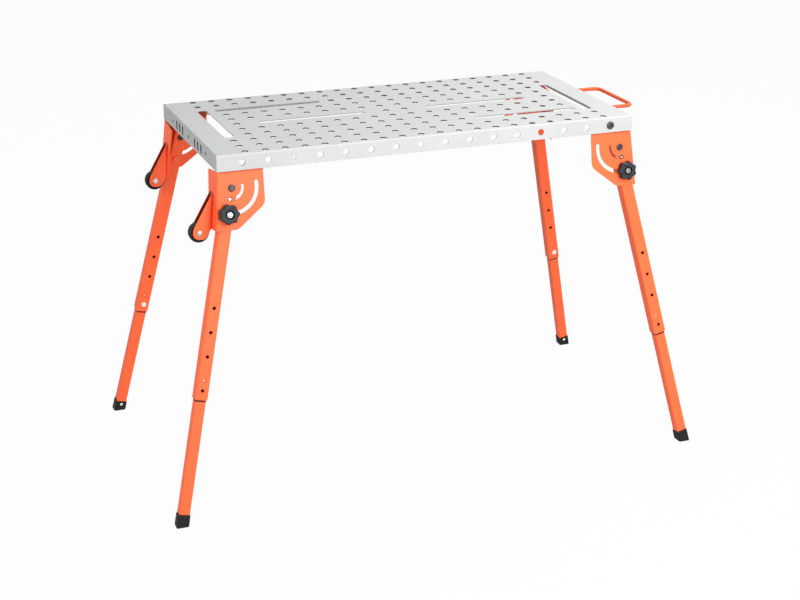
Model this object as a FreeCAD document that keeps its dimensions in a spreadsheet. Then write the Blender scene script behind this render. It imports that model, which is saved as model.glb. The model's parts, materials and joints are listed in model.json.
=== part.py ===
"""Folding welding table: a perforated sheet-metal top on four folding, telescopic, splayed legs.

Millimetres. +Z is up, the floor is z = 0 and the origin is on the floor under the middle of the top.
+X runs to the end with the carrying handle, -X to the end with the two transport wheels,
-Y is the front side.
"""

import FreeCAD
import Part

import os
from math import cos, radians, sin, tan

import Sketcher

V = FreeCAD.Vector
Placement = FreeCAD.Placement
Rotation = FreeCAD.Rotation

# Every driving dimension: name and value (mm, or degrees where the name says so).
DIMENSIONS = [
    ("top_length", 1100),
    ("top_width", 535),
    ("apron_height", 40),
    ("top_sheet", 3),
    ("top_bend_radius", 4),
    ("corner_slit", 1.2),
    ("grid_end_margin", 75),
    ("grid_side_margin", 17.5),
    ("grid_hole_dia", 16),
    ("clamp_slot_over", 35),
    ("clamp_slot_width", 21),
    ("end_slot_width", 25),
    ("apron_end_margin", 62.5),
    ("apron_hole_dia", 16),
    ("apron_small_dia", 8),
    ("apron_hole_drop", 21),
    ("tool_slot_pitch", 30),
    ("tool_slot_middle", 92),
    ("tool_slot_width", 8),
    ("tool_slot_height", 22),
    ("end_hole_reach", 165),
    ("bracket_sheet", 3),
    ("bracket_tilt_deg", 8.3),
    ("bracket_lean_deg", 4.5),
    ("bracket_top_width", 114),
    ("bracket_depth", 142),
    ("bracket_side_depth", 86),
    ("bracket_foot_inset", 70),
    ("bracket_corner_radius", 24),
    ("bracket_strip_height", 27),
    ("flange_top_width", 80),
    ("flange_bottom_width", 70),
    ("pivot_inset", 34),
    ("pivot_drop", 81),
    ("pivot_bolt_dia", 8),
    ("bolt_flats", 13),
    ("bolt_head_height", 5.3),
    ("nut_height", 6.5),
    ("detent_reach", 27),
    ("detent_hole_dia", 12),
    ("detent_pin_dia", 8),
    ("detent_tip_dia", 6),
    ("detent_tip_reach", 2.4),
    ("detent_slot_width", 6.4),
    ("knob_reach", 62),
    ("knob_slot_width", 10),
    ("fold_past_level_deg", 8),
    ("leg_splay_deg", 12.5),
    ("leg_length", 842),
    ("leg_width", 32),
    ("leg_wall", 2),
    ("leg_corner_radius", 3),
    ("leg_top_over", 20),
    ("leg_tube_reach", 521),
    ("adjust_first", 293),
    ("adjust_pitch", 60),
    ("adjust_hole_dia", 9),
    ("lock_reach", 498),
    ("inner_width", 27),
    ("inner_wall", 1.5),
    ("inner_corner_radius", 2.5),
    ("inner_top_reach", 432),
    ("snap_button_dia", 8),
    ("snap_flange_dia", 11),
    ("foot_width", 31),
    ("foot_height", 31),
    ("foot_floor", 12),
    ("foot_edge_radius", 2),
    ("foot_screw_dia", 4),
    ("foot_screw_head_dia", 8),
    ("foot_screw_rise", 22),
    ("knob_bolt_dia", 8),
    ("knob_bolt_head_dia", 18),
    ("knob_bolt_head_height", 4),
    ("knob_dia", 50),
    ("knob_height", 15),
    ("knob_boss_dia", 27),
    ("knob_boss_height", 6),
    ("knob_scallop_dia", 20),
    ("knob_insert_dia", 14),
    ("knob_insert_depth", 9),
    ("wheel_dia", 50),
    ("wheel_width", 18),
    ("wheel_recess", 2.5),
    ("wheel_hub_dia", 18),
    ("wheel_rim", 5),
    ("axle_dia", 8),
    ("axle_head_dia", 14),
    ("axle_head_height", 3),
    ("axle_drop", 196),
    ("axle_out", 30),
    ("fork_sheet", 2.5),
    ("fork_gap", 20),
    ("fork_rise", 100),
    ("fork_lower_rise", 15),
    ("fork_nose_radius", 16),
    ("fork_inset", 35.5),
    ("handle_rod_dia", 10),
    ("handle_width", 200),
    ("handle_reach", 91),
    ("handle_bend_radius", 20),
    ("handle_nut_flats", 16),
    ("handle_nut_height", 8),
    ("apron_bolt_dia", 12),
    ("apron_bolt_head_dia", 20),
    ("apron_bolt_head_height", 5),
    ("running_gap", 0.3),
    ("bore_clearance", 0.05),
    ("hole_clearance", 0.1),
]

CORNERS = {"fl": (-1, -1), "fr": (1, -1), "bl": (-1, 1), "br": (1, 1)}
PLANES = {"XY": "XY_Plane", "XZ": "XZ_Plane", "YZ": "YZ_Plane"}
# Each row of the hole grid, from the back: runs of holes as (first column, number of holes).
GRID_COLUMNS = 20
GRID_ROWS = [
    [(1, 20)],
    [(1, 20)],
    [(8, 13)],
    [(2, 18)],
    [(2, 18)],
    [(2, 1), (10, 2), (19, 1)],
    [(2, 18)],
    [(2, 18)],
    [(1, 13)],
    [(1, 20)],
    [(1, 20)],
]
APRON_HOLES = 16
SLOT_PITCHES = 5
KNOB_LOBES = 7
ADJUST_HOLES = 4


class Size:
    """A number kept together with the sheet expression that gives it."""

    def __init__(self, value, text):
        self.value = float(value)
        self.text = text

    def joined(self, sign, other, value):
        return Size(value, f"({self.text} {sign} {other.text})")

    def __add__(self, other):
        other = as_size(other)
        return self.joined("+", other, self.value + other.value)

    def __sub__(self, other):
        other = as_size(other)
        return self.joined("-", other, self.value - other.value)

    def __mul__(self, other):
        other = as_size(other)
        return self.joined("*", other, self.value * other.value)

    def __truediv__(self, other):
        other = as_size(other)
        return self.joined("/", other, self.value / other.value)

    def __radd__(self, other):
        return as_size(other) + self

    def __rsub__(self, other):
        return as_size(other) - self

    def __rmul__(self, other):
        return as_size(other) * self

    def __neg__(self):
        return as_size(0) - self

    def __float__(self):
        return self.value


def as_size(number):
    """A bare number as a Size, so that both can be mixed."""
    if isinstance(number, Size):
        return number
    return Size(number, f"({float(number):.9g})")


def sin_of(angle):
    return Size(sin(radians(angle.value)), f"sin({angle.text} * 1 deg)")


def cos_of(angle):
    return Size(cos(radians(angle.value)), f"cos({angle.text} * 1 deg)")


def tan_of(angle):
    return Size(tan(radians(angle.value)), f"tan({angle.text} * 1 deg)")


doc = FreeCAD.newDocument("folding_welding_table")
sheet = doc.addObject("Spreadsheet::Sheet", "dims")
for row, (alias, number) in enumerate(DIMENSIONS, 1):
    sheet.set(f"A{row}", alias)
    sheet.set(f"B{row}", str(number))
    sheet.setAlias(f"B{row}", alias)
doc.recompute()


class Dimensions:
    """Reads a driving dimension by name, as a Size bound to the sheet."""

    def __init__(self):
        self.values = dict(DIMENSIONS)

    def __getattr__(self, alias):
        return Size(self.values[alias], f"dims.{alias}")


D = Dimensions()
NODES = {}


def node(name, thing):
    """Registers a finished sub-part under the name of its file."""
    thing.Label = name
    NODES[name] = thing
    return thing


def bind(thing, prop, size):
    """Sets a property from a Size and ties it to the sheet."""
    size = as_size(size)
    if "." not in prop:
        setattr(thing, prop, size.value)
    thing.setExpression(prop, size.text)


# Sketches


def new_body(name):
    return doc.addObject("PartDesign::Body", f"{name}_body")


def new_sketch(body, plane, shift=None, turn=None):
    """A sketch on one of the body's origin planes, moved by shift (x, y, z in the plane's own axes)
    and turned by turn (axis, degrees)."""
    sketch = body.newObject("Sketcher::SketchObject", "sketch")
    role = PLANES[plane]
    support = [f for f in body.Origin.OriginFeatures if f.Role == role][0]
    sketch.AttachmentSupport = [(support, "")]
    sketch.MapMode = "FlatFace"
    shift = [as_size(c) for c in (shift or (0, 0, 0))]
    rotation = Rotation(turn[0], float(turn[1])) if turn else Rotation()
    sketch.AttachmentOffset = Placement(V(*[c.value for c in shift]), rotation)
    for axis, size in zip("xyz", shift):
        sketch.setExpression(f"AttachmentOffset.Base.{axis}", size.text)
    return sketch


def fix(sketch, kind, size, *where):
    """Adds a dimension to the sketch and ties it to the sheet."""
    size = as_size(size)
    number = sketch.addConstraint(Sketcher.Constraint(kind, *where, size.value))
    sketch.setExpression(f"Constraints[{number}]", size.text)


def fix_point(sketch, geometry, end, x, y):
    fix(sketch, "DistanceX", x, -1, 1, geometry, end)
    fix(sketch, "DistanceY", y, -1, 1, geometry, end)


def add_polygon(sketch, points):
    """A closed outline through the points, each a pair of Sizes."""
    points = [(as_size(x), as_size(y)) for x, y in points]
    at = [V(x.value, y.value, 0) for x, y in points]
    lines = []
    for here, there in zip(at, at[1:] + at[:1]):
        lines.append(sketch.addGeometry(Part.LineSegment(here, there), False))
    for here, there in zip(lines, lines[1:] + lines[:1]):
        sketch.addConstraint(Sketcher.Constraint("Coincident", here, 2, there, 1))
    for line, (x, y) in zip(lines, points):
        fix_point(sketch, line, 1, x, y)


def add_rectangle(sketch, x, y, width, height):
    """A rectangle centred on (x, y)."""
    x, y, width, height = [as_size(n) for n in (x, y, width, height)]
    left, right = x - width / 2, x + width / 2
    low, high = y - height / 2, y + height / 2
    add_polygon(sketch, [(left, low), (right, low), (right, high), (left, high)])


def add_circle(sketch, x, y, diameter):
    x, y, diameter = [as_size(n) for n in (x, y, diameter)]
    circle = Part.Circle(V(x.value, y.value, 0), V(0, 0, 1), diameter.value / 2)
    number = sketch.addGeometry(circle, False)
    fix_point(sketch, number, 3, x, y)
    fix(sketch, "Diameter", diameter, number)


def add_slot(sketch, x, y, length, width, upright):
    """A slot with round ends, end to end length, centred on (x, y)."""
    x, y, length, width = [as_size(n) for n in (x, y, length, width)]
    reach = (length - width) / 2
    if upright:
        ends = [(x, y + reach), (x, y - reach)]
        start = 0.0
    else:
        ends = [(x - reach, y), (x + reach, y)]
        start = 90.0
    radius = width.value / 2
    arcs = []
    for index, (cx, cy) in enumerate(ends):
        circle = Part.Circle(V(cx.value, cy.value, 0), V(0, 0, 1), radius)
        first = radians(start + 180 * index)
        arcs.append(sketch.addGeometry(Part.ArcOfCircle(circle, first, first + radians(180)), False))
    shapes = [sketch.Geometry[arc] for arc in arcs]
    sides = []
    for here, there in ((0, 1), (1, 0)):
        line = Part.LineSegment(shapes[here].EndPoint, shapes[there].StartPoint)
        sides.append(sketch.addGeometry(line, False))
    for here, there, side in ((0, 1, sides[0]), (1, 0, sides[1])):
        sketch.addConstraint(Sketcher.Constraint("Tangent", arcs[here], 2, side, 1))
        sketch.addConstraint(Sketcher.Constraint("Tangent", side, 2, arcs[there], 1))
    for arc, (cx, cy) in zip(arcs, ends):
        fix_point(sketch, arc, 3, cx, cy)
    fix(sketch, "Diameter", width, arcs[0])


# Features


def pad(body, sketch, length, reverse=False, middle=False):
    feature = body.newObject("PartDesign::Pad", "pad")
    feature.Profile = sketch
    bind(feature, "Length", length)
    feature.Reversed = reverse
    feature.Midplane = middle
    doc.recompute()
    return feature


def pocket(body, sketch, length=None, reverse=False, middle=False):
    """Cuts the sketch right through both ways, or by length one way or about the middle."""
    before = body.Shape.Volume
    feature = body.newObject("PartDesign::Pocket", "pocket")
    feature.Profile = sketch
    if length is None:
        feature.Type = "ThroughAll"
        feature.Midplane = True
    else:
        bind(feature, "Length", length)
        feature.Reversed = reverse
        feature.Midplane = middle
    doc.recompute()
    if body.Shape.Volume >= before - 1e-3:
        raise RuntimeError(f"{body.Name}: a pocket cuts nothing")
    return feature


def slab_pocket(body, sketch, length):
    """Cuts the sketch by length, half of it on each side of the sketch."""
    return pocket(body, sketch, length, middle=True)


def repeat(body, feature, sketch, count, step):
    """Repeats a feature in a row along the sketch's own X."""
    pattern = body.newObject("PartDesign::LinearPattern", "row")
    pattern.Originals = [feature]
    pattern.Direction = (sketch, ["H_Axis"])
    pattern.Mode = "Spacing"
    bind(pattern, "Offset", step)
    pattern.Occurrences = count
    body.Tip = pattern
    doc.recompute()
    return pattern


def edges_where(feature, test):
    return [f"Edge{i}" for i, edge in enumerate(feature.Shape.Edges, 1) if test(edge)]


def round_edges(body, radius, test):
    """Rounds every edge of the body's tip that passes the test."""
    base = body.Tip
    fillet = body.newObject("PartDesign::Fillet", "rounding")
    fillet.Base = (base, edges_where(base, test))
    bind(fillet, "Radius", radius)
    doc.recompute()
    return fillet


def ends_of(edge):
    return [vertex.Point for vertex in edge.Vertexes]


def along(edge, axis):
    """Whether a straight edge runs along the axis."""
    ends = ends_of(edge)
    if len(ends) != 2:
        return False
    run = ends[1] - ends[0]
    return run.Length > 1e-6 and abs(abs(run.dot(axis)) - run.Length) < 1e-4


def level(edge, axis, value):
    """Whether an edge lies wholly at one height along the axis."""
    points = ends_of(edge) + [edge.valueAt(edge.FirstParameter), edge.valueAt(edge.LastParameter)]
    return all(abs(point.dot(axis) - float(value)) < 1e-4 for point in points)


# Primitive pieces


def cylinder(diameter, length, at=(0, 0, 0), axis=V(0, 0, 1)):
    """A round bar that starts at a point and runs along the axis."""
    thing = doc.addObject("Part::Cylinder", "bar")
    bind(thing, "Radius", as_size(diameter) / 2)
    bind(thing, "Height", length)
    place_primitive(thing, at, axis)
    return thing


def hexagon(flats, length, at=(0, 0, 0), axis=V(0, 0, 1)):
    """A hexagonal bar of the given width across its flats."""
    thing = doc.addObject("Part::Prism", "hexagon")
    thing.Polygon = 6
    bind(thing, "Circumradius", as_size(flats) / Size(2 * cos(radians(30)), "(2 * cos(30 deg))"))
    bind(thing, "Height", length)
    place_primitive(thing, at, axis)
    return thing


def place_primitive(thing, at, axis):
    at = [as_size(c) for c in at]
    thing.Placement = Placement(V(*[c.value for c in at]), Rotation(V(0, 0, 1), axis))
    for letter, size in zip("xyz", at):
        thing.setExpression(f"Placement.Base.{letter}", size.text)


def fuse(things):
    whole = doc.addObject("Part::MultiFuse", "piece")
    whole.Shapes = things
    return whole


def cut(base, tool):
    rest = doc.addObject("Part::Cut", "piece")
    rest.Base = base
    rest.Tool = tool
    return rest


def group(pieces):
    """Separate, identical pieces that share one file."""
    whole = doc.addObject("Part::Compound", "pieces")
    whole.Links = pieces
    return whole


# The frames that everything hangs on


def outward_sign(corner):
    """+1 where the bracket's own x runs to the table's end, -1 where it runs to the middle."""
    sx, sy = CORNERS[corner]
    return -sx * sy


PLATE_RISE = D.pivot_drop - D.apron_height - D.running_gap
PLATE_TOP = (PLATE_RISE - D.bracket_sheet * sin_of(D.bracket_tilt_deg)) / cos_of(D.bracket_tilt_deg)
LEG_AXIS = -(D.running_gap + D.leg_width / 2)
PIVOT_X = D.top_length / 2 - D.pivot_inset
PIVOT_Y = (
    D.top_width / 2
    - D.top_sheet
    - D.bracket_sheet * cos_of(D.bracket_tilt_deg)
    + PLATE_TOP * sin_of(D.bracket_tilt_deg)
)
PIVOT_Z = D.leg_length * cos_of(D.leg_splay_deg) * cos_of(D.bracket_tilt_deg) - LEG_AXIS * sin_of(
    D.bracket_tilt_deg
)
TOP_Z = PIVOT_Z + D.pivot_drop
SHANK_BORE = D.pivot_bolt_dia + 2 * D.bore_clearance
FIRST_APRON_HOLE = D.apron_end_margin - D.top_length / 2
APRON_PITCH = (D.top_length - 2 * D.apron_end_margin) / (APRON_HOLES - 1)
COLUMN_PITCH = (D.top_length - 2 * D.grid_end_margin) / (GRID_COLUMNS - 1)
ROW_PITCH = (D.top_width - 2 * D.grid_side_margin) / (len(GRID_ROWS) - 1)


def bracket_frame(corner):
    """Origin on the pivot axis at the plate's inner face, x level, y up the plate, z outward."""
    sx, sy = CORNERS[corner]
    tilt = Rotation(V(1, 0, 0), 90 - D.bracket_tilt_deg.value)
    facing = Rotation(V(0, 0, 1), 0 if sy < 0 else 180)
    at = V(sx * PIVOT_X.value, sy * PIVOT_Y.value, PIVOT_Z.value)
    return Placement(at, facing * tilt)


def leg_frame(corner):
    """The bracket's frame turned by the splay: the leg runs down along -y."""
    turn = Rotation(V(0, 0, 1), outward_sign(corner) * D.leg_splay_deg.value)
    return bracket_frame(corner) * Placement(V(0, 0, 0), turn)


# The top: one folded and perforated sheet


def make_top():
    body = new_body("table_top")
    outline = new_sketch(body, "XY")
    add_rectangle(outline, 0, 0, D.top_length, D.top_width)
    pad(body, outline, D.apron_height)
    up = V(0, 0, 1)
    round_edges(body, D.top_bend_radius, lambda e: level(e, up, D.apron_height))
    inside = new_sketch(body, "XY")
    wall = 2 * D.top_sheet
    add_rectangle(inside, 0, 0, D.top_length - wall, D.top_width - wall)
    pocket(body, inside, D.apron_height - D.top_sheet, reverse=True)
    cut_grid(body)
    cut_clamp_slots(body)
    cut_side_aprons(body)
    cut_end_aprons(body)
    cut_corner_slits(body)
    body.Placement = Placement(V(0, 0, TOP_Z.value - D.apron_height.value), Rotation())
    return node("table_top", body)


def cut_grid(body):
    """The hole grid, row by row from the back. The clamp slots stand where holes are left out."""
    for row, runs in enumerate(GRID_ROWS, 1):
        for first, count in runs:
            sketch = new_sketch(body, "XY")
            x = (first - (GRID_COLUMNS + 1) / 2) * COLUMN_PITCH
            y = ((len(GRID_ROWS) + 1) / 2 - row) * ROW_PITCH
            add_circle(sketch, x, y, D.grid_hole_dia)
            hole = pocket(body, sketch)
            if count > 1:
                repeat(body, hole, sketch, count, COLUMN_PITCH)


def cut_clamp_slots(body):
    """The long clamp slots stand where the grid leaves rows of holes out."""
    sketch = new_sketch(body, "XY")
    long = SLOT_PITCHES * COLUMN_PITCH + D.clamp_slot_over
    for x, y in ((-6, 3), (6, -3), (-4.5, 0), (4.5, 0)):
        add_slot(sketch, x * COLUMN_PITCH, y * ROW_PITCH, long, D.clamp_slot_width, False)
    pocket(body, sketch)
    sketch = new_sketch(body, "XY")
    long = SLOT_PITCHES * ROW_PITCH + D.clamp_slot_over
    for x, y in ((-9.5, 0.5), (9.5, -0.5)):
        add_slot(sketch, x * COLUMN_PITCH, y * ROW_PITCH, long, D.end_slot_width, True)
    pocket(body, sketch)


def cut_side_aprons(body):
    """A row of sixteen holes in each long apron, the third from one end small."""
    rise = D.apron_height - D.apron_hole_drop
    middle = D.top_width / 2 - D.top_sheet / 2
    for side in (-1, 1):
        shift = (0, 0, -side * middle)
        for first, count, diameter in (
            (0, 2, D.apron_hole_dia),
            (2, 1, D.apron_small_dia),
            (3, 13, D.apron_hole_dia),
        ):
            start = first if side < 0 else APRON_HOLES - first - count
            sketch = new_sketch(body, "XZ", shift)
            add_circle(sketch, FIRST_APRON_HOLE + start * APRON_PITCH, rise, diameter)
            hole = slab_pocket(body, sketch, 3 * D.top_sheet)
            if count > 1:
                repeat(body, hole, sketch, count, APRON_PITCH)


def cut_end_aprons(body):
    """Tool slots at the wheel end, the handle's holes at the other, small holes at both."""
    rise = D.apron_height - D.apron_hole_drop
    middle = D.top_length / 2 - D.top_sheet / 2
    for side in (-1, 1):
        sketch = new_sketch(body, "YZ", (0, 0, side * middle))
        for place in (-1, 0, 1):
            add_circle(sketch, place * D.end_hole_reach, rise, D.apron_small_dia)
        if side < 0:
            for half in (-1, 1):
                for place in (-1, 0, 1):
                    y = half * D.tool_slot_middle + place * D.tool_slot_pitch
                    add_slot(sketch, y, rise, D.tool_slot_height, D.tool_slot_width, True)
        else:
            for half in (-1, 1):
                bore = D.handle_rod_dia + 2 * D.hole_clearance
                add_circle(sketch, half * D.handle_width / 2, rise, bore)
        slab_pocket(body, sketch, 3 * D.top_sheet)


def cut_corner_slits(body):
    """Where the folded end aprons stop just short of the side aprons."""
    sketch = new_sketch(body, "XY")
    x = D.top_length / 2 - D.top_sheet / 2
    y = D.top_width / 2 - D.top_sheet - D.corner_slit / 2
    for sx in (-1, 1):
        for sy in (-1, 1):
            add_rectangle(sketch, sx * x, sy * y, 2 * D.top_sheet, D.corner_slit)
    pocket(body, sketch, D.apron_height - D.top_bend_radius - D.top_sheet, reverse=True)


# The four leg brackets


def make_bracket(corner):
    """A folded plate: mounting strip behind the apron, tilted leg plate and end flange."""
    s = outward_sign(corner)
    body = new_body(f"bracket_{corner}")
    lean = tan_of(D.bracket_lean_deg)
    bottom = PLATE_TOP - D.bracket_depth
    side_end = PLATE_TOP - D.bracket_side_depth
    inner = D.pivot_inset - D.bracket_top_width
    outline = new_sketch(body, "XY")
    add_polygon(
        outline,
        [
            (s * inner, PLATE_TOP),
            (s * D.pivot_inset, PLATE_TOP),
            (s * (D.pivot_inset + D.bracket_depth * lean), bottom),
            (s * (inner + D.bracket_foot_inset), bottom),
            (s * inner, side_end),
        ],
    )
    pad(body, outline, D.bracket_sheet)
    corners = [(inner + D.bracket_foot_inset, bottom), (inner, side_end)]
    round_edges(body, D.bracket_corner_radius, lambda e: is_corner(e, corners, s))
    add_flange(body, s)
    add_strip(body, s, inner)
    holes = new_sketch(body, "XY")
    add_circle(holes, 0, 0, D.pivot_bolt_dia + 2 * D.hole_clearance)
    x, y = on_leg_line(s, D.detent_reach, as_size(0))
    add_circle(holes, x, y, D.detent_hole_dia)
    slab_pocket(body, holes, 4 * D.bracket_sheet)
    cut_arc_slot(body, s, D.detent_reach, D.detent_slot_width)
    cut_arc_slot(body, s, D.knob_reach, D.knob_slot_width)
    body.Placement = bracket_frame(corner)
    return node(f"bracket_{corner}", body)


def is_corner(edge, corners, s):
    """Whether an edge through the plate stands at one of the given corners."""
    if not along(edge, V(0, 0, 1)):
        return False
    point = ends_of(edge)[0]
    return any(abs(point.x - s * x.value) + abs(point.y - y.value) < 1e-3 for x, y in corners)


def on_leg_line(s, reach, folded):
    """A point of the bracket at a reach from the pivot, on the leg line folded by some degrees."""
    angle = D.leg_splay_deg - folded
    return s * reach * sin_of(angle), -reach * cos_of(angle)


def cut_arc_slot(body, s, reach, width):
    """A slot along an arc about the pivot, from the standing leg to a little past level."""
    sweep = D.leg_splay_deg + 90 + D.fold_past_level_deg
    middle = s * (D.leg_splay_deg.value - sweep.value / 2) - 90
    section = new_sketch(body, "XZ", turn=(V(0, 1, 0), middle))
    add_rectangle(section, reach, D.bracket_sheet / 2, width, 3 * D.bracket_sheet)
    before = body.Shape.Volume
    groove = body.newObject("PartDesign::Groove", "arc_slot")
    groove.Profile = section
    groove.ReferenceAxis = (section, ["V_Axis"])
    groove.Midplane = True
    bind(groove, "Angle", sweep)
    doc.recompute()
    if body.Shape.Volume >= before - 1:
        raise RuntimeError(f"{body.Name}: an arc slot cuts nothing")
    rounds = new_sketch(body, "XY")
    for folded in (as_size(0), sweep):
        x, y = on_leg_line(s, reach, folded)
        add_circle(rounds, x, y, width)
    slab_pocket(body, rounds, 4 * D.bracket_sheet)


def add_flange(body, s):
    """The end flange, bent square to the plate along its leaning outer edge."""
    turn = (V(0, 1, 0), s * D.bracket_lean_deg.value)
    sketch = new_sketch(body, "YZ", (PLATE_TOP, 0, s * D.pivot_inset), turn)
    length = D.bracket_depth / cos_of(D.bracket_lean_deg)
    face = D.bracket_sheet
    add_polygon(
        sketch,
        [
            (0, face),
            (0, face - D.flange_top_width),
            (-length, face - D.flange_bottom_width),
            (-length, face),
        ],
    )
    pad(body, sketch, D.bracket_sheet, reverse=s > 0)


def add_strip(body, s, inner):
    """The upright strip that lies against the inside of the apron."""
    turn = (V(1, 0, 0), D.bracket_tilt_deg.value)
    sketch = new_sketch(body, "XY", (0, PLATE_TOP, D.bracket_sheet), turn)
    outer = D.pivot_inset - D.top_sheet - D.running_gap
    root = D.bracket_sheet / 2
    height = D.bracket_strip_height + root
    middle = height / 2 - root
    add_rectangle(sketch, s * (inner + outer) / 2, middle, outer - inner, height)
    pad(body, sketch, D.bracket_sheet, reverse=True)
    hole = new_sketch(body, "XY", (0, PLATE_TOP, D.bracket_sheet), turn)
    x = D.top_length / 2 - D.pivot_inset + FIRST_APRON_HOLE
    rise = D.apron_height - D.apron_hole_drop + D.running_gap
    diameter = D.apron_bolt_dia if s > 0 else D.apron_hole_dia
    add_circle(hole, -s * x, rise, diameter + 2 * D.hole_clearance)
    slab_pocket(body, hole, 3 * D.bracket_sheet)


# The legs


def square_tube(body, width, wall, radius, start, end):
    """A square tube about the leg's axis, from start to end (both measured along y)."""
    sketch = new_sketch(body, "XZ", (0, 0, -as_size(start)))
    add_rectangle(sketch, 0, LEG_AXIS, width, width)
    pad(body, sketch, start - end)
    long_way = V(0, 1, 0)
    round_edges(body, radius, lambda e: along(e, long_way))
    bore = new_sketch(body, "XZ", (0, 0, -as_size(start)))
    add_rectangle(bore, 0, LEG_AXIS, width - 2 * wall, width - 2 * wall)
    pocket(body, bore)


def make_leg(corner):
    """The outer leg tube, with the pivot bore, the knob bolt's hole and the height holes."""
    body = new_body(f"leg_{corner}")
    square_tube(
        body, D.leg_width, D.leg_wall, D.leg_corner_radius, D.leg_top_over, -D.leg_tube_reach
    )
    holes = new_sketch(body, "XY")
    add_circle(holes, 0, 0, SHANK_BORE)
    add_circle(holes, 0, -D.knob_reach, D.knob_bolt_dia + 2 * D.hole_clearance)
    add_circle(holes, 0, -D.lock_reach, D.pivot_bolt_dia + 2 * D.hole_clearance)
    for index in range(ADJUST_HOLES):
        add_circle(holes, 0, -(D.adjust_first + index * D.adjust_pitch), D.adjust_hole_dia)
    pocket(body, holes)
    outer_only = new_sketch(body, "XY", (0, 0, -(D.running_gap + D.leg_wall / 2)))
    add_circle(outer_only, 0, -D.detent_reach, D.detent_pin_dia + 2 * D.bore_clearance)
    slab_pocket(body, outer_only, 2 * D.leg_wall)
    body.Placement = leg_frame(corner)
    return node(f"leg_{corner}", body)


SNAP_REACH = D.adjust_first + (ADJUST_HOLES - 1) * D.adjust_pitch
INNER_END = D.leg_length - D.foot_floor
FOOT_TOP = D.leg_length - D.foot_height
FOOT_SCREW_REACH = D.leg_length - D.foot_screw_rise


def make_inner_leg(corner):
    """The sliding inner tube with the holes of the snap buttons, lock bolt and foot screw."""
    body = new_body(f"inner_leg_{corner}")
    square_tube(
        body, D.inner_width, D.inner_wall, D.inner_corner_radius, -D.inner_top_reach, -INNER_END
    )
    holes = new_sketch(body, "XY")
    add_circle(holes, 0, -SNAP_REACH, D.snap_button_dia + 2 * D.bore_clearance)
    pocket(body, holes)
    screw = new_sketch(body, "XY", (0, 0, LEG_AXIS - D.inner_width / 2))
    add_circle(screw, 0, -FOOT_SCREW_REACH, D.foot_screw_dia + 2 * D.hole_clearance)
    slab_pocket(body, screw, 4 * D.inner_wall)
    lock = new_sketch(body, "XY", (0, 0, LEG_AXIS + D.inner_width / 2))
    add_circle(lock, 0, -D.lock_reach, D.pivot_bolt_dia + 2 * D.hole_clearance)
    slab_pocket(body, lock, 4 * D.inner_wall)
    body.Placement = leg_frame(corner)
    return node(f"inner_leg_{corner}", body)


def make_foot(corner):
    """The moulded foot cap: a socket for the inner tube, cut level with the floor."""
    body = new_body(f"foot_{corner}")
    block = new_sketch(body, "XZ", (0, 0, FOOT_TOP))
    add_rectangle(block, 0, LEG_AXIS, D.foot_width, D.foot_width)
    pad(body, block, 2 * D.foot_height)
    round_edges(body, D.foot_edge_radius, lambda e: along(e, V(0, 1, 0)))
    top = -FOOT_TOP
    round_edges(body, D.foot_edge_radius, lambda e: level(e, V(0, 1, 0), top))
    socket = new_sketch(body, "XZ", (0, 0, FOOT_TOP))
    fit = D.inner_width + 2 * D.hole_clearance
    add_rectangle(socket, 0, LEG_AXIS, fit, fit)
    pocket(body, socket, INNER_END - FOOT_TOP, reverse=True)
    frame = leg_frame(corner)
    heel = V(0, -D.leg_length.value, LEG_AXIS.value)
    floor = new_sketch(body, "XY", (0, -D.leg_length, LEG_AXIS))
    floor.AttachmentOffset = Placement(heel, frame.Rotation.inverted())
    add_rectangle(floor, 0, 0, 4 * D.foot_width, 4 * D.foot_width)
    pocket(body, floor, 2 * D.foot_height)
    screw = new_sketch(body, "XY", (0, 0, LEG_AXIS - D.foot_width / 2))
    add_circle(screw, 0, -FOOT_SCREW_REACH, D.foot_screw_dia + 2 * D.hole_clearance)
    slab_pocket(body, screw, D.foot_width - D.inner_width)
    body.Placement = frame
    return node(f"foot_{corner}", body)


def make_foot_screw(corner):
    """A pan-head screw on the leg's inner face that keeps the foot on."""
    back = LEG_AXIS - D.foot_width / 2
    head = D.foot_screw_dia / 2
    deep = (D.foot_width - D.inner_width) / 2 + 3 * D.inner_wall
    shank = cylinder(D.foot_screw_dia, deep, (0, -FOOT_SCREW_REACH, back))
    cap = cylinder(D.foot_screw_head_dia, head, (0, -FOOT_SCREW_REACH, back - head))
    screw = fuse([shank, cap])
    screw.Placement = leg_frame(corner)
    return node(f"foot_screw_{corner}", screw)


def make_knob_bolt(corner):
    """The round-head bolt through the leg and the bracket's slot, which carries the knob."""
    back = LEG_AXIS - D.leg_width / 2
    tip = D.bracket_sheet + D.running_gap + D.knob_boss_height + D.knob_height
    shank = cylinder(D.knob_bolt_dia, tip - back, (0, -D.knob_reach, back))
    head_at = (0, -D.knob_reach, back - D.knob_bolt_head_height)
    head = cylinder(D.knob_bolt_head_dia, D.knob_bolt_head_height, head_at)
    bolt = fuse([shank, head])
    bolt.Placement = leg_frame(corner)
    return node(f"knob_bolt_{corner}", bolt)


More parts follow.
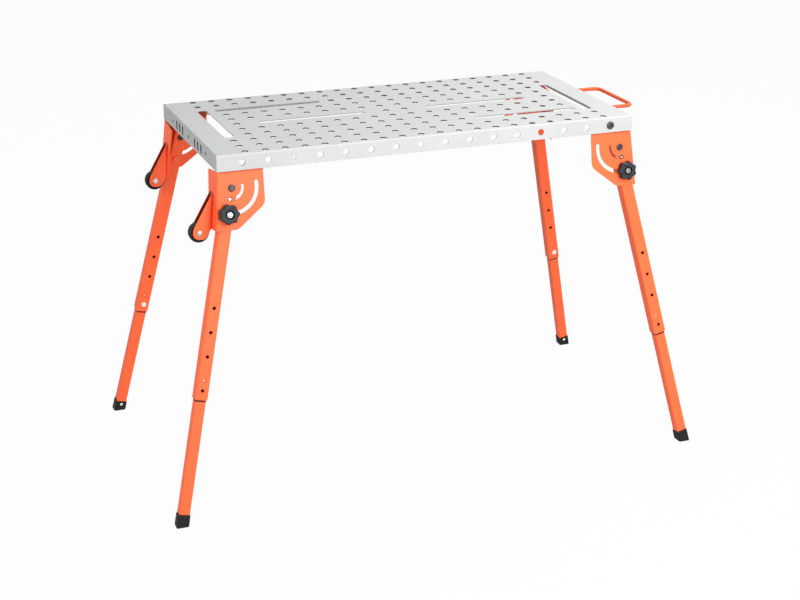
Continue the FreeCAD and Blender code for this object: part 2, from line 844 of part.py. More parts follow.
def make_knob(corner):
    """The star knob: a scalloped disc on a boss, with a seat for its steel insert."""
    body = new_body(f"knob_{corner}")
    base = D.bracket_sheet + D.running_gap
    boss = new_sketch(body, "XY", (0, 0, base))
    add_circle(boss, 0, 0, D.knob_boss_dia)
    pad(body, boss, D.knob_boss_height)
    disc = new_sketch(body, "XY", (0, 0, base + D.knob_boss_height))
    add_circle(disc, 0, 0, D.knob_dia)
    pad(body, disc, D.knob_height)
    scallop = new_sketch(body, "XY", (0, 0, base + D.knob_boss_height))
    add_circle(scallop, 0, D.knob_dia / 2 + D.knob_scallop_dia * 0.34, D.knob_scallop_dia)
    notch = pocket(body, scallop, D.knob_height, reverse=True)
    pattern = body.newObject("PartDesign::PolarPattern", "scallops")
    pattern.Originals = [notch]
    pattern.Axis = (scallop, ["N_Axis"])
    pattern.Angle = 360
    pattern.Occurrences = KNOB_LOBES
    body.Tip = pattern
    doc.recompute()
    face = base + D.knob_boss_height + D.knob_height
    round_edges(body, D.foot_edge_radius, lambda e: level(e, V(0, 0, 1), face))
    bore = new_sketch(body, "XY", (0, 0, face))
    add_circle(bore, 0, 0, D.knob_bolt_dia + 2 * D.bore_clearance)
    pocket(body, bore)
    seat = new_sketch(body, "XY", (0, 0, face))
    add_circle(seat, 0, 0, D.knob_insert_dia)
    pocket(body, seat, D.knob_insert_depth)
    body.Placement = leg_frame(corner) * Placement(V(0, -D.knob_reach.value, 0), Rotation())
    return node(f"knob_{corner}", body)


def make_knob_insert(corner):
    """The steel bush in the middle of the knob."""
    face = D.bracket_sheet + D.running_gap + D.knob_boss_height + D.knob_height
    low = face - D.knob_insert_depth
    whole = cylinder(D.knob_insert_dia, D.knob_insert_depth, (0, -D.knob_reach, low))
    bore_dia = D.knob_bolt_dia + 2 * D.bore_clearance
    bore = cylinder(bore_dia, 2 * D.knob_insert_depth, (0, -D.knob_reach, low - 1))
    bush = cut(whole, bore)
    bush.Placement = leg_frame(corner)
    return node(f"knob_insert_{corner}", bush)


def make_lock_bolt(corner):
    """The hexagon bolt on the leg's inner face that is nipped up against the inner tube."""
    back = LEG_AXIS - D.leg_width / 2
    deep = (D.leg_width - D.inner_width) / 2 - D.running_gap
    shank = cylinder(D.pivot_bolt_dia, deep, (0, -D.lock_reach, back))
    head_at = (0, -D.lock_reach, back - D.bolt_head_height)
    bolt = fuse([shank, hexagon(D.bolt_flats, D.bolt_head_height, head_at)])
    bolt.Placement = leg_frame(corner)
    return node(f"lock_bolt_{corner}", bolt)


def make_detent_pin(corner):
    """The sprung pin: its shoulder rides behind the plate, its tip in the inner arc slot."""
    half_gap = D.running_gap / 2
    flange_height = D.leg_wall
    seat = -(D.running_gap + D.leg_wall + half_gap)
    flange = cylinder(D.detent_pin_dia + 4, flange_height, (0, -D.detent_reach, seat - flange_height))
    stem = cylinder(D.detent_pin_dia, D.leg_wall + 1.5 * half_gap, (0, -D.detent_reach, seat))
    reach = D.detent_tip_reach - seat
    tip = cylinder(D.detent_tip_dia, reach, (0, -D.detent_reach, seat))
    pin = fuse([flange, stem, tip])
    pin.Placement = leg_frame(corner)
    return node(f"detent_pin_{corner}", pin)


def make_snap_button(corner, face):
    """One end of the spring clip in the inner tube: face +1 is the outer side of the leg."""
    body = new_body(f"snap_{corner}")
    room = (D.leg_width - D.inner_width) / 2 - D.leg_wall
    inside = D.inner_width / 2 - D.inner_wall
    gap = D.running_gap / 3
    flange = new_sketch(body, "XY", (0, 0, inside - gap))
    add_circle(flange, 0, 0, D.snap_flange_dia)
    pad(body, flange, D.inner_wall, reverse=True)
    stem = new_sketch(body, "XY", (0, 0, inside - gap))
    add_circle(stem, 0, 0, D.snap_button_dia)
    pad(body, stem, D.inner_wall + room * 0.8 + gap)
    crown = inside + D.inner_wall + room * 0.8
    round_edges(body, D.inner_wall, lambda e: level(e, V(0, 0, 1), crown))
    turn = Rotation(V(0, 1, 0), 0 if face > 0 else 180)
    at = V(0, -SNAP_REACH.value, LEG_AXIS.value)
    body.Placement = leg_frame(corner) * Placement(at, turn)
    side = "out" if face > 0 else "in"
    return node(f"snap_{side}_{corner}", body)


# Bolts that stay with the top


def make_pivot_fasteners():
    """A hexagon bolt and a nut at each leg's pivot."""
    bolts, nuts = [], []
    back = LEG_AXIS - D.leg_width / 2 - D.running_gap
    for corner in CORNERS:
        tail = back - D.nut_height
        shank = cylinder(D.pivot_bolt_dia, D.bracket_sheet - tail, (0, 0, tail))
        head = hexagon(D.bolt_flats, D.bolt_head_height, (0, 0, D.bracket_sheet))
        bolt = fuse([shank, head])
        bolt.Placement = bracket_frame(corner)
        bolts.append(bolt)
        block = hexagon(D.bolt_flats, D.nut_height, (0, 0, tail))
        bore = cylinder(SHANK_BORE, 3 * D.nut_height, (0, 0, tail - D.nut_height))
        nut = cut(block, bore)
        nut.Placement = bracket_frame(corner)
        nuts.append(nut)
    node("pivot_bolts", group(bolts))
    node("pivot_nuts", group(nuts))


def make_apron_bolts():
    """The bolt through the last apron hole, at the two corners that are a half turn apart."""
    bolts = []
    x = -FIRST_APRON_HOLE
    drop = D.top_width / 2
    rise = TOP_Z - D.apron_hole_drop
    long = D.top_sheet + D.bracket_sheet
    for turn in (0, 180):
        shank = cylinder(D.apron_bolt_dia, long, (x, -drop, rise), V(0, 1, 0))
        head_at = (x, -drop - D.apron_bolt_head_height, rise)
        head = cylinder(D.apron_bolt_head_dia, D.apron_bolt_head_height, head_at, V(0, 1, 0))
        bolt = fuse([shank, head])
        bolt.Placement = Placement(V(0, 0, 0), Rotation(V(0, 0, 1), turn))
        bolts.append(bolt)
    node("apron_bolts", group(bolts))


# The carrying handle


def make_handle():
    """A U of round rod whose ends go through the end apron."""
    rod, bend = D.handle_rod_dia, D.handle_bend_radius
    rise = TOP_Z - D.apron_hole_drop
    half = D.handle_width / 2
    tail = D.top_length / 2 - D.top_sheet - D.handle_nut_height - D.bracket_sheet
    far = D.top_length / 2 + D.handle_reach
    pieces = []
    for side in (-1, 1):
        at = (tail, side * half, rise)
        pieces.append(cylinder(rod, far - bend - tail, at, V(1, 0, 0)))
        elbow = doc.addObject("Part::Torus", "elbow")
        bind(elbow, "Radius1", bend)
        bind(elbow, "Radius2", rod / 2)
        bind(elbow, "Angle3", 90)
        turn = Rotation(V(0, 0, 1), 0 if side > 0 else -90)
        centre = (far - bend, side * (half - bend), rise)
        elbow.Placement = Placement(V(*[float(c) for c in centre]), turn)
        for letter, size in zip("xyz", centre):
            elbow.setExpression(f"Placement.Base.{letter}", size.text)
        pieces.append(elbow)
    bar_at = (far, -(half - bend), rise)
    pieces.append(cylinder(rod, D.handle_width - 2 * bend, bar_at, V(0, 1, 0)))
    return node("handle", fuse(pieces))


def make_handle_nuts():
    """A nut on each end of the handle, inside the end apron."""
    nuts = []
    rise = TOP_Z - D.apron_hole_drop
    start = D.top_length / 2 - D.top_sheet - D.handle_nut_height
    for side in (-1, 1):
        y = side * D.handle_width / 2
        block = hexagon(D.handle_nut_flats, D.handle_nut_height, (start, y, rise), V(1, 0, 0))
        bore_dia = D.handle_rod_dia + 2 * D.hole_clearance
        bore_at = (start - D.handle_nut_height, y, rise)
        bore = cylinder(bore_dia, 3 * D.handle_nut_height, bore_at, V(1, 0, 0))
        nuts.append(cut(block, bore))
    return node("handle_nuts", group(nuts))


# The transport wheels


def fork_frame(corner):
    """Origin on the bracket's end flange at axle height: x out from the flange, y along the axle."""
    sx, sy = CORNERS[corner]
    s = outward_sign(corner)
    frame = bracket_frame(corner)
    lean = radians(D.bracket_lean_deg.value)
    edge = frame.multVec(V(s * D.pivot_inset.value, PLATE_TOP.value, 0))
    out = frame.Rotation.multVec(V(s * cos(lean), sin(lean), 0))
    y = sy * (D.top_width - 2 * D.fork_inset).value / 2
    z = TOP_Z.value - D.axle_drop.value
    x = edge.x - (out.y * (y - edge.y) + out.z * (z - edge.z)) / out.x
    up = V(0, 0, 1) - out * out.z
    up.normalize()
    return Placement(V(x, y, z), Rotation(out, up.cross(out), up, "XZY"))


FORK_WIDTH = D.fork_gap + 2 * D.fork_sheet


def make_fork(name, corner):
    """A folded U: a web on the flange and two cheeks that taper to a round nose at the axle."""
    body = new_body(name)
    cheek = new_sketch(body, "XZ")
    nose = D.fork_nose_radius
    out = D.axle_out
    add_polygon(
        cheek,
        [
            (0, D.fork_lower_rise),
            (out - nose, -nose),
            (out + nose, -nose),
            (out + nose, nose / 2),
            (D.fork_sheet, D.fork_rise),
            (0, D.fork_rise),
        ],
    )
    pad(body, cheek, FORK_WIDTH, middle=True)
    low = [(out - nose, -nose), (out + nose, -nose), (out + nose, nose / 2)]
    radius = nose * 0.97
    round_edges(body, radius, lambda e: is_cheek_corner(e, low))
    gap = new_sketch(body, "XZ")
    add_rectangle(gap, D.fork_sheet + D.fork_rise / 2, 0, D.fork_rise, 4 * D.fork_rise)
    slab_pocket(body, gap, D.fork_gap)
    bore = new_sketch(body, "XZ")
    add_circle(bore, out, 0, D.axle_dia + 2 * D.hole_clearance)
    pocket(body, bore)
    body.Placement = fork_frame(corner)
    return node(name, body)


def is_cheek_corner(edge, corners):
    if not along(edge, V(0, 1, 0)):
        return False
    point = ends_of(edge)[0]
    return any(abs(point.x - x.value) + abs(point.z - z.value) < 1e-3 for x, z in corners)


def make_wheel(name, corner):
    """A solid moulded wheel with a sunk web and a bore for the axle."""
    body = new_body(name)
    disc = new_sketch(body, "XZ")
    add_circle(disc, D.axle_out, 0, D.wheel_dia)
    pad(body, disc, D.wheel_width, middle=True)
    half = D.wheel_width / 2
    round_edges(body, D.wheel_recess, lambda e: abs(abs(e.BoundBox.YMax) - half.value) < 1e-4)
    for side in (-1, 1):
        recess = new_sketch(body, "XZ", (0, 0, -side * (half - D.wheel_recess / 2)))
        add_circle(recess, D.axle_out, 0, D.wheel_dia - 2 * D.wheel_rim)
        add_circle(recess, D.axle_out, 0, D.wheel_hub_dia)
        slab_pocket(body, recess, D.wheel_recess)
    bore = new_sketch(body, "XZ")
    add_circle(bore, D.axle_out, 0, D.axle_dia + 2 * D.bore_clearance)
    pocket(body, bore)
    body.Placement = fork_frame(corner)
    return node(name, body)


def make_axles():
    """A headed pin through each fork, its other end peened over."""
    pins = []
    half = FORK_WIDTH / 2
    for corner in ("fl", "bl"):
        along_y = V(0, 1, 0)
        shank = cylinder(D.axle_dia, FORK_WIDTH, (D.axle_out, -half, 0), along_y)
        near = (D.axle_out, -half - D.axle_head_height, 0)
        far = (D.axle_out, half, 0)
        heads = [
            cylinder(D.axle_head_dia, D.axle_head_height, near, along_y),
            cylinder(D.axle_head_dia, D.axle_head_height, far, along_y),
        ]
        pin = fuse([shank] + heads)
        pin.Placement = fork_frame(corner)
        pins.append(pin)
    return node("wheel_axles", group(pins))


def make_all():
    make_top()
    for corner in CORNERS:
        make_bracket(corner)
        make_leg(corner)
        make_inner_leg(corner)
        make_foot(corner)
        make_foot_screw(corner)
        make_knob_bolt(corner)
        make_knob(corner)
        make_knob_insert(corner)
        make_lock_bolt(corner)
        make_detent_pin(corner)
        make_snap_button(corner, 1)
        make_snap_button(corner, -1)
    make_pivot_fasteners()
    make_apron_bolts()
    make_handle()
    make_handle_nuts()
    make_axles()
    for side, corner in (("front", "fl"), ("back", "bl")):
        make_fork(f"wheel_fork_{side}", corner)
        make_wheel(f"wheel_{side}", corner)
    doc.recompute()


def check_all():
    for thing in doc.Objects:
        if "Invalid" in thing.State or "Error" in thing.State:
            raise RuntimeError(f"{thing.Label} failed: {thing.State}")
    for name, thing in NODES.items():
        if thing.Shape.isNull() or not thing.Shape.isValid() or not thing.Shape.Solids:
            raise RuntimeError(f"{name} has no valid solid")


make_all()
check_all()
os.makedirs("parts", exist_ok=True)
for name, thing in NODES.items():
    thing.Shape.exportStep(f"parts/{name}.step")
    box = thing.Shape.BoundBox
    size = f"{box.XLength:.1f} x {box.YLength:.1f} x {box.ZLength:.1f}"
    print(f"{name}: {len(thing.Shape.Solids)} solid(s), {size} mm, {thing.Shape.Volume:.0f} mm3")
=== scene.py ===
"""The looks of a folding welding table, built round its packed CAD frame.

Pieces are drawn in millimetres, most of them as flat blanks that are then
folded as the real sheet is, and set in place in metres.
"""

import json
import math
from collections import namedtuple
from functools import partial

import bmesh
import bpy
from bmesh.types import BMEdge, BMFace, BMVert
from bpy.props import FloatProperty, FloatVectorProperty, PointerProperty
from bpy.types import NodeSocket, Operator, Panel, PropertyGroup
from mathutils import Matrix, Vector


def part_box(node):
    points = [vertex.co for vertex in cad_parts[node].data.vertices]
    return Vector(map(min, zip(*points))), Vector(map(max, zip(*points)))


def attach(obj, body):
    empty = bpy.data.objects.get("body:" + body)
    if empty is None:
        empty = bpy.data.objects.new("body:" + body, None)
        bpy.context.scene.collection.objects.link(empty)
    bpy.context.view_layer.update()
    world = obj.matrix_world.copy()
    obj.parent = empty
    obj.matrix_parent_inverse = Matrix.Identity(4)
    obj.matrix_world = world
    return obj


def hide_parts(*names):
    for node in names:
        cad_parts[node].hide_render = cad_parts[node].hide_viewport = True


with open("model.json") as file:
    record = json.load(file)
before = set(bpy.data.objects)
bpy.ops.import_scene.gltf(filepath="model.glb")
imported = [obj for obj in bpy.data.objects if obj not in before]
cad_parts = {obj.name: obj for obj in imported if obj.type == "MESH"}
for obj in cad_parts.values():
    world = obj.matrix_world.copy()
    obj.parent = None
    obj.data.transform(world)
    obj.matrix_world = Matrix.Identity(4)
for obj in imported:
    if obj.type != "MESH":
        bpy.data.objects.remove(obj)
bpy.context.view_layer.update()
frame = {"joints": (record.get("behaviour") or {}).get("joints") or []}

bl_info = {
    "name": "Folding welding table",
    "version": (1, 0, 0),
    "blender": (4, 5, 0),
    "location": "3D View > Sidebar > Welding table",
    "description": "Dresses the frame of a folding welding table with folded sheet, tubes and fittings",
    "category": "Add Mesh",
}

JOINTS = {joint["name"]: joint for joint in frame["joints"]}
TOP_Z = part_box("table_top")[1].z * 1000

QUARTER = math.pi / 2
# A face looks along an axis when its normal has at least this much of it.
FACING = 0.9
# Edges sharper than this keep a crease.
CREASE = math.radians(40)

# Corners of the table (front or back, left or right), and the way that a bracket's drawing
# is turned there: 1 as drawn, -1 mirrored.
CORNERS = {"fl": -1, "fr": 1, "bl": 1, "br": -1}
WHEEL_CORNERS = {"front": "fl", "back": "bl"}

# The top's hole grid, from the back row: runs of holes as (first column, number of holes).
FULL, SHORT = ((1, 20),), ((2, 18),)
SPARSE = ((2, 1), (10, 2), (19, 1))
GRID_ROWS = (FULL, FULL, ((8, 13),), SHORT, SHORT, SPARSE, SHORT, SHORT, ((1, 13),), FULL, FULL)
MIDDLE_COLUMN, MIDDLE_ROW = 10.5, 5
# Clamp slots along the top and across its ends, as the middle in grid pitches; their sizes (mm).
LONG_SLOTS = ((-6, 3), (6, -3), (-4.5, 0), (4.5, 0))
CROSS_SLOTS = ((-9.5, 0.5), (9.5, -0.5))
SLOT_LENGTH, LONG_SLOT_WIDTH, CROSS_SLOT_WIDTH = 285, 21, 25

# Holes in the aprons (mm): their row below the top face, their places along it and their widths.
APRON_ROW = 21
SIDE_HOLES = [65 * index - 487.5 for index in range(16)]
SIDE_HOLE, SMALL_HOLE, HANDLE_HOLE = 16, 8, 10.2
END_HOLES = (-165, 0, 165)
END_SLOTS, END_SLOT_SIZE = (62, 92, 122), (23, 10.5)
# The one small hole of each side apron: front (-1) or back (1), and its index in the row.
SMALL_SIDE_HOLES = ((-1, 2), (1, 13))

# Cuts that keep the folds from tearing the top's corners (mm).
CORNER_RELIEF, FOLD_CLEAR = 0.5, 0.4

# The handle (mm): half its width, its reach past the end apron, its tails and nuts behind the apron.
HANDLE_HALF, HANDLE_REACH, HANDLE_TAIL, HANDLE_NUT = 100, 91, 11, 8

# The leg's fixed distances along its tube, measured down from the pivot (mm).
LEG_AXIS = -16.3
DETENT_REACH, KNOB_REACH, LOCK_REACH, SNAP_REACH = 27, 62, 498, 473
ADJUSTING_HOLES = [(293 + 60 * index, 9) for index in range(4)]
OUTER_START, OUTER_END = -20, 521
INNER_START, INNER_END, FOOT_TOP, FOOT_SCREW_REACH = 432, 830, 811, 820
# How far the legs stand out in use, and how far past upright they fold.
SPLAY, FOLDED = math.radians(12.5), math.radians(98)
# The softened ends of the tubes, and how near their seam's points are to be one (mm).
TUBE_RIM, SEAM = 0.4, 0.002
# Holes for an 8 mm bolt or axle, and the other holes of the tubes (mm).
BOLT, BOLT_HOLE = 8, 8.2
TUBE_PIVOT_HOLE, LOCK_HOLE, PIN_HOLE, SNAP_HOLE, SCREW_HOLE = 8.3, 9.4, 11.4, 8.1, 4.2
# How far the ring of painted shade on the inner tube, the contact shadow under the outer tube's end,
# reaches into the outer tube, and out of it (mm).
SHADE_RING_IN, SHADE_RING_OUT = 4, 5.2
# The clearance of fitted pieces, and how near a point is to be on a line (mm).
FIT, NEAR = 0.1, 0.01

# The bracket (mm, from the pivot): the height of its fold under the apron, the plate's height, the
# flange's place and lengths, the plate's far end and the two corners of its slope, and the strip's
# height, its step back from the flange and the rise of its hole.
BRACKET_TILT, FLANGE_LEAN = math.radians(8.3), math.radians(4.5)
FOLD_HEIGHT, PLATE_HEIGHT = 40.7, 142
FLANGE_X, FLANGE_TOP, FLANGE_FOOT = 34, 80, 70
PLATE_END, PLATE_SIDE, PLATE_FOOT = -80, 86, -10
STRIP_HEIGHT, STRIP_BACK, STRIP_HOLE_RISE = 27, 1.2, 19.3
# Its holes: the detent's with its slot, the knob bolt's slot, and the one in the strip, for an apron
# bolt or as free as the apron's own.
DETENT_HOLE, DETENT_SLOT, KNOB_SLOT = 12, 6.4, 10
BOLTED_STRIP_HOLE, FREE_STRIP_HOLE = 12.2, 16.2
# Where its plate gets painted shade: this far below the fold, and past this x on the inside.
DIM_BELOW, DIM_CORNER = 4, 13
# The distance from the fork's web to the wheel's axle (mm).
AXLE_REACH = 30
# Heights of the pivots' nuts and of the hexagon heads, and the nuts' distance from the leg (mm).
PIVOT_NUT, BOLT_HEAD, NUT_CLEAR = 6.5, 5.3, 0.3
# A hexagon's end (mm): how far its flat stays inside, where its corners begin to be turned off and
# where they are off, and the turned-off width as a share of the flats.
HEX_INSET, HEX_TURNED, HEX_BLUNT, BLUNT_SHARE = 0.3, 0.9, 0.35, 1.06
# The lead of a bolt's tip and of a nut's bore (mm).
TIP_LEAD, BORE_LEAD = 0.5, 0.6

# How far faces are darkened as painted shade: 0 as their coat, 1 as painted shade at the bottom of a
# crevice.
SLOT_SHADE, APRON_HOLE_SHADE = 0.3, 0.15
BRACKET_CORNER_SHADE, UNDER_APRON_SHADE, APRON_LINE_SHADE = 0.55, 0.6, 0.5
FORK_SHADE, HANDLE_SHADE, AXLE_SHADE, DETENT_SHADE = 0.8, 0.3, 0.45, 0.2
# Painted reflection: the steel in the knobs is darkened in its colour, as if it mirrored their dark
# plastic.
KNOB_STEEL_SHADE = 0.66

# A coat's colour where it is worn pale, as a share and an addition, and its share under painted shade.
WORN_SHARE, WORN_ADDED, SHADE_SHARE = 0.55, 0.4, 0.06

WHITE = (1.0, 1.0, 1.0, 1.0)
# The floor's own grey, its share of plain white to the camera, and the light from all round.
FLOOR_GREY, FLOOR_WHITE, AMBIENT = 0.42, 0.965, 0.24
# The floor's half width and how far it lies under the feet (m).
FLOOR_HALF, FLOOR_DROP = 40, 0.0005
# Soft boxes: name, place, aim, size (m) and power (W).
LAMPS = (
    ("key_light", (0.5, -2.5, 2.1), (0.1, 0, 0.7), 1.6, 88),
    ("fill_light", (0.3, -3.4, 0.9), (0, 0, 0.6), 0.9, 38),
    ("top_light", (2.2, 0.4, 3.0), (0.4, 0, 0.8), 2.2, 110),
    ("left_light", (-3.0, -0.7, 2.0), (-0.3, 0, 0.7), 1.6, 50),
)


def length(label, note, default):
    """A size property, in metres."""
    return FloatProperty(
        name=label, description=note, default=default, min=0.0, unit="LENGTH", precision=4
    )


def colour(label, note, default):
    """A colour property."""
    return FloatVectorProperty(
        name=label, description=note, default=default, size=3, min=0.0, max=1.0, subtype="COLOR"
    )


class TopSizes(PropertyGroup):
    """Sizes of the folded top sheet."""

    long: length("Length", "Length of the top over its end aprons", 1.1)
    wide: length("Width", "Width of the top over its side aprons", 0.535)
    apron: length("Apron height", "Height of the folded aprons", 0.04)
    sheet: length("Sheet", "Thickness of the top sheet", 0.003)
    bend: length("Bend radius", "Outer radius of the folds", 0.004)
    slit: length("Corner slit", "Gap between end and side aprons", 0.0006)
    pitch: length("Grid pitch", "Spacing of the fixture holes", 0.05)
    hole: length("Grid hole", "Diameter of the fixture holes", 0.016)
    rim: length("Rim", "Softened edge of the holes", 0.0005)


class BracketSizes(PropertyGroup):
    """Sizes of the folded leg brackets and wheel forks."""

    sheet: length("Bracket sheet", "Thickness of the bracket sheet", 0.003)
    bend: length("Bracket bend", "Outer radius of the bracket's flange fold", 0.0045)
    rim: length("Bracket rim", "Softened edge of the bracket", 0.0006)
    fork_sheet: length("Fork sheet", "Thickness of the fork sheet", 0.0025)
    fork_bend: length("Fork bend", "Outer radius of the fork's folds", 0.0035)
    fork_gap: length("Fork gap", "Space between the fork's cheeks", 0.02)


class LegSizes(PropertyGroup):
    """Sizes of the telescopic legs and their feet."""

    outer: length("Outer tube", "Width of the outer square tube", 0.032)
    outer_wall: length("Outer wall", "Wall of the outer tube", 0.002)
    outer_corner: length("Outer corner", "Corner radius of the outer tube", 0.0035)
    inner: length("Inner tube", "Width of the inner square tube", 0.027)
    inner_wall: length("Inner wall", "Wall of the inner tube", 0.0015)
    inner_corner: length("Inner corner", "Corner radius of the inner tube", 0.003)
    foot: length("Foot", "Width of the moulded foot", 0.031)
    foot_round: length("Foot rounding", "Edge radius of the moulded foot", 0.004)


class FittingSizes(PropertyGroup):
    """Sizes of knobs, bolts, wheels and the handle."""

    knob: length("Knob", "Diameter over the knob's lobes", 0.05)
    knob_scallop: length("Knob scallop", "Diameter of the hollows between lobes", 0.02)
    bolt_flats: length("Bolt flats", "Width across flats of the hexagon heads", 0.013)
    wheel: length("Wheel", "Diameter of the transport wheels", 0.05)
    wheel_width: length("Wheel width", "Width of the transport wheels", 0.018)
    rod: length("Handle rod", "Diameter of the handle's rod", 0.01)
    handle_bend: length("Handle bend", "Bend radius of the handle at the rod's middle", 0.02)


class FinishColours(PropertyGroup):
    """Colours of the finishes."""

    top_coat: colour("Top coat", "Satin silver-grey coat of the top", (0.435, 0.441, 0.439))
    orange_coat: colour("Orange coat", "Powder coat of the bent steel", (0.95, 0.124, 0.037))
    button_coat: colour("Button coat", "Coat of the snap buttons", (0.93, 0.31, 0.19))
    zinc: colour("Zinc", "Plated steel of pins, bushes and screws", (0.8, 0.785, 0.75))
    black_bolt: colour("Blackened steel", "Blackened bolts and nuts", (0.032, 0.032, 0.035))
    knob_plastic: colour("Knob plastic", "Moulded knobs", (0.013, 0.016, 0.02))
    foot_plastic: colour("Foot plastic", "Moulded feet", (0.011, 0.0115, 0.0105))
    wheel_plastic: colour("Wheel plastic", "Moulded wheels", (0.011, 0.011, 0.011))


def mm(size):
    """A size property's value in millimetres."""
    return size * 1000.0


# Drawing


def new_drawing():
    """An empty drawing whose faces can be marked for their shading."""
    bm = bmesh.new()
    for label in ("rim", "bore", "gap"):
        bm.faces.layers.float.new(label)
    return bm


def mark(bm, faces, label, value=1.0):
    """Mark faces as a softened edge (rim), the wall of a hole (bore), which gets painted shade, or a face
    for painted shade (gap).
    """
    layer = bm.faces.layers.float[label]
    for face in faces:
        face[layer] = value


def mark_bores(bm, long=60):
    """Mark the walls of the holes in a flat blank for painted shade: every run of wall faces but the
    longest.

    Long slots let more light in than round holes, so their walls are marked less, or not at all
    where they run along y, the way the light comes.
    """
    left = {f for f in bm.faces if abs(f.normal.z) < 0.1}
    runs = []
    while left:
        run, reach = [], [left.pop()]
        while reach:
            face = reach.pop()
            run.append(face)
            near = {f for e in face.edges for f in e.link_faces} & left
            left -= near
            reach.extend(near)
        runs.append(run)
    longest = max(runs, key=lambda run: sum(f.calc_area() for f in run))
    for run in runs:
        if run is not longest:
            places = [v.co for f in run for v in f.verts]
            wide, high = (max(p[a] for p in places) - min(p[a] for p in places) for a in (0, 1))
            mark(bm, run, "bore", 0.0 if high > long else SLOT_SHADE if wide > long else 1.0)


def picked(geom, kind):
    """The elements of one kind among an operator's results."""
    return [g for g in geom if isinstance(g, kind)]


def edges_of(verts):
    """The edges between some vertices."""
    inside = set(verts)
    return list(dict.fromkeys(e for v in verts for e in v.link_edges if e.other_vert(v) in inside))


def soften(bm, geom, offset, segments, affect):
    """Bevel edges or corners, and give the new faces."""
    return bmesh.ops.bevel(
        bm,
        geom=geom,
        offset=offset,
        offset_type="OFFSET",
        segments=segments,
        profile=0.5,
        affect=affect,
        material=-1,
    )["faces"]


def outline(bm, points, rounds=()):
    """A closed loop through points; rounds holds (index, distance from the corner) to round off."""
    verts = [bm.verts.new((x, y, 0)) for x, y in points]
    bm.faces.new(verts)
    for index, back in rounds:
        soften(bm, [verts[index]], back, 6, "VERTICES")
    bmesh.ops.delete(bm, geom=bm.faces[:], context="FACES_ONLY")


def round_hole(bm, x, y, width, segments=20):
    """A round loop to cut from a blank."""
    bmesh.ops.create_circle(bm, segments=segments, radius=width / 2, matrix=along(x, y))


def slot_hole(bm, x, y, long, width, turn=0.0, segments=20):
    """A slot loop with round ends, its length along x before the turn."""
    half_step = Matrix.Rotation(math.pi / segments, 4, "Z")
    verts = bmesh.ops.create_circle(bm, segments=segments, radius=width / 2, matrix=half_step)["verts"]
    for v in verts:
        v.co.x += math.copysign((long - width) / 2, v.co.x)
    bmesh.ops.transform(bm, matrix=along(x, y) @ Matrix.Rotation(turn, 4, "Z"), verts=verts)
    return verts


def arc_hole(bm, reach, width, start, sweep, head=0.0):
    """A slot along an arc about the origin; a head opens its start to a round hole."""
    way = math.copysign(1, sweep)
    half = reach * abs(sweep) / 2
    loop = bmesh.new()
    for v in slot_hole(loop, 0, 0, 2 * half + width, width, segments=24):
        if head and v.co.x < 0:
            turn = math.atan2(v.co.y, -(v.co.x + half))
            turn *= (math.pi - math.asin(width / head)) / QUARTER
            v.co = Vector((-half - math.cos(turn) * head / 2, math.sin(turn) * head / 2, 0))
    sides = [e for e in loop.edges if e.calc_length() > width * 2]
    bmesh.ops.subdivide_edges(loop, edges=sides, cuts=18)
    for v in loop.verts:
        angle = start + way * (v.co.x + half) / reach
        across = reach - way * v.co.y
        v.co = Vector((across * math.cos(angle), across * math.sin(angle), 0))
    join(bm, loop)


def join(bm, part):
    """Add another drawing to this one."""
    shell = bpy.data.meshes.new("part")
    part.to_mesh(shell)
    part.free()
    bm.from_mesh(shell)
    bpy.data.meshes.remove(shell)


def cut_blank(bm, thick, rim, segments=1, open_at=()):
    """Fill the drawn loops to a flat sheet with its outer face at z = 0 and soften its cut edges.

    open_at lists the x positions of two cut edges that will meet in a seam.
    """
    bmesh.ops.triangle_fill(bm, use_beauty=True, use_dissolve=False, edges=bm.edges[:])
    bm.normal_update()
    for face in bm.faces:
        if face.normal.z < 0:
            face.normal_flip()
    grown = bmesh.ops.extrude_face_region(bm, geom=bm.faces[:], use_keep_orig=True)["geom"]
    bmesh.ops.translate(bm, vec=(0, 0, -thick), verts=picked(grown, BMVert))
    bmesh.ops.recalc_face_normals(bm, faces=bm.faces[:])
    bm.normal_update()

    def is_open(face):
        x = face.calc_center_median().x
        return abs(face.normal.x) > FACING and any(abs(x - place) < 1e-3 for place in open_at)

    bmesh.ops.delete(bm, geom=[f for f in bm.faces if is_open(f)], context="FACES")
    mark_bores(bm)
    cut = []
    for edge in bm.edges:
        flat = [abs(f.normal.z) > FACING for f in edge.link_faces]
        if len(flat) == 2 and flat[0] != flat[1]:
            cut.append(edge)
    mark(bm, soften(bm, cut, rim, segments, "EDGES"), "rim")


def cut_across(bm, at, way):
    """Cut every face along a plane, so that its two sides can be folded or marked apart."""
    everything = bm.verts[:] + bm.edges[:] + bm.faces[:]
    bmesh.ops.bisect_plane(bm, geom=everything, dist=1e-5, plane_co=at, plane_no=way)


def fold(bm, folds, steps=6):
    """Fold a flat blank down about lines, the outermost line first.

    Each fold is (point on the line, way out from it, angle, outer radius, test of the flat point).
    """
    for at, out, angle, radius, _ in folds:
        arc = radius * abs(angle)
        for step in range(steps + 1 if arc else 1):
            cut_across(bm, at + out * (arc * step / steps), out)
    flat = {v: v.co.copy() for v in bm.verts}
    for at, out, angle, radius, test in folds:
        arc = radius * abs(angle)
        c, s = math.cos(angle), math.sin(angle)
        for v, first in flat.items():
            past = (first - at).dot(out)
            if past <= 1e-6 or (test and not test(first)):
                continue
            now = v.co - at
            u, w = now.dot(out), now.z
            beside = now - out * u - Vector((0, 0, w))
            if past <= arc:
                turn, reach = past / radius, radius + first.z
                u, w = reach * math.sin(turn), reach * math.cos(turn) - radius
            else:
                u, w = radius * s + (u - arc) * c + w * s, radius * (c - 1) - (u - arc) * s + w * c
            v.co = at + beside + out * u + Vector((0, 0, w))


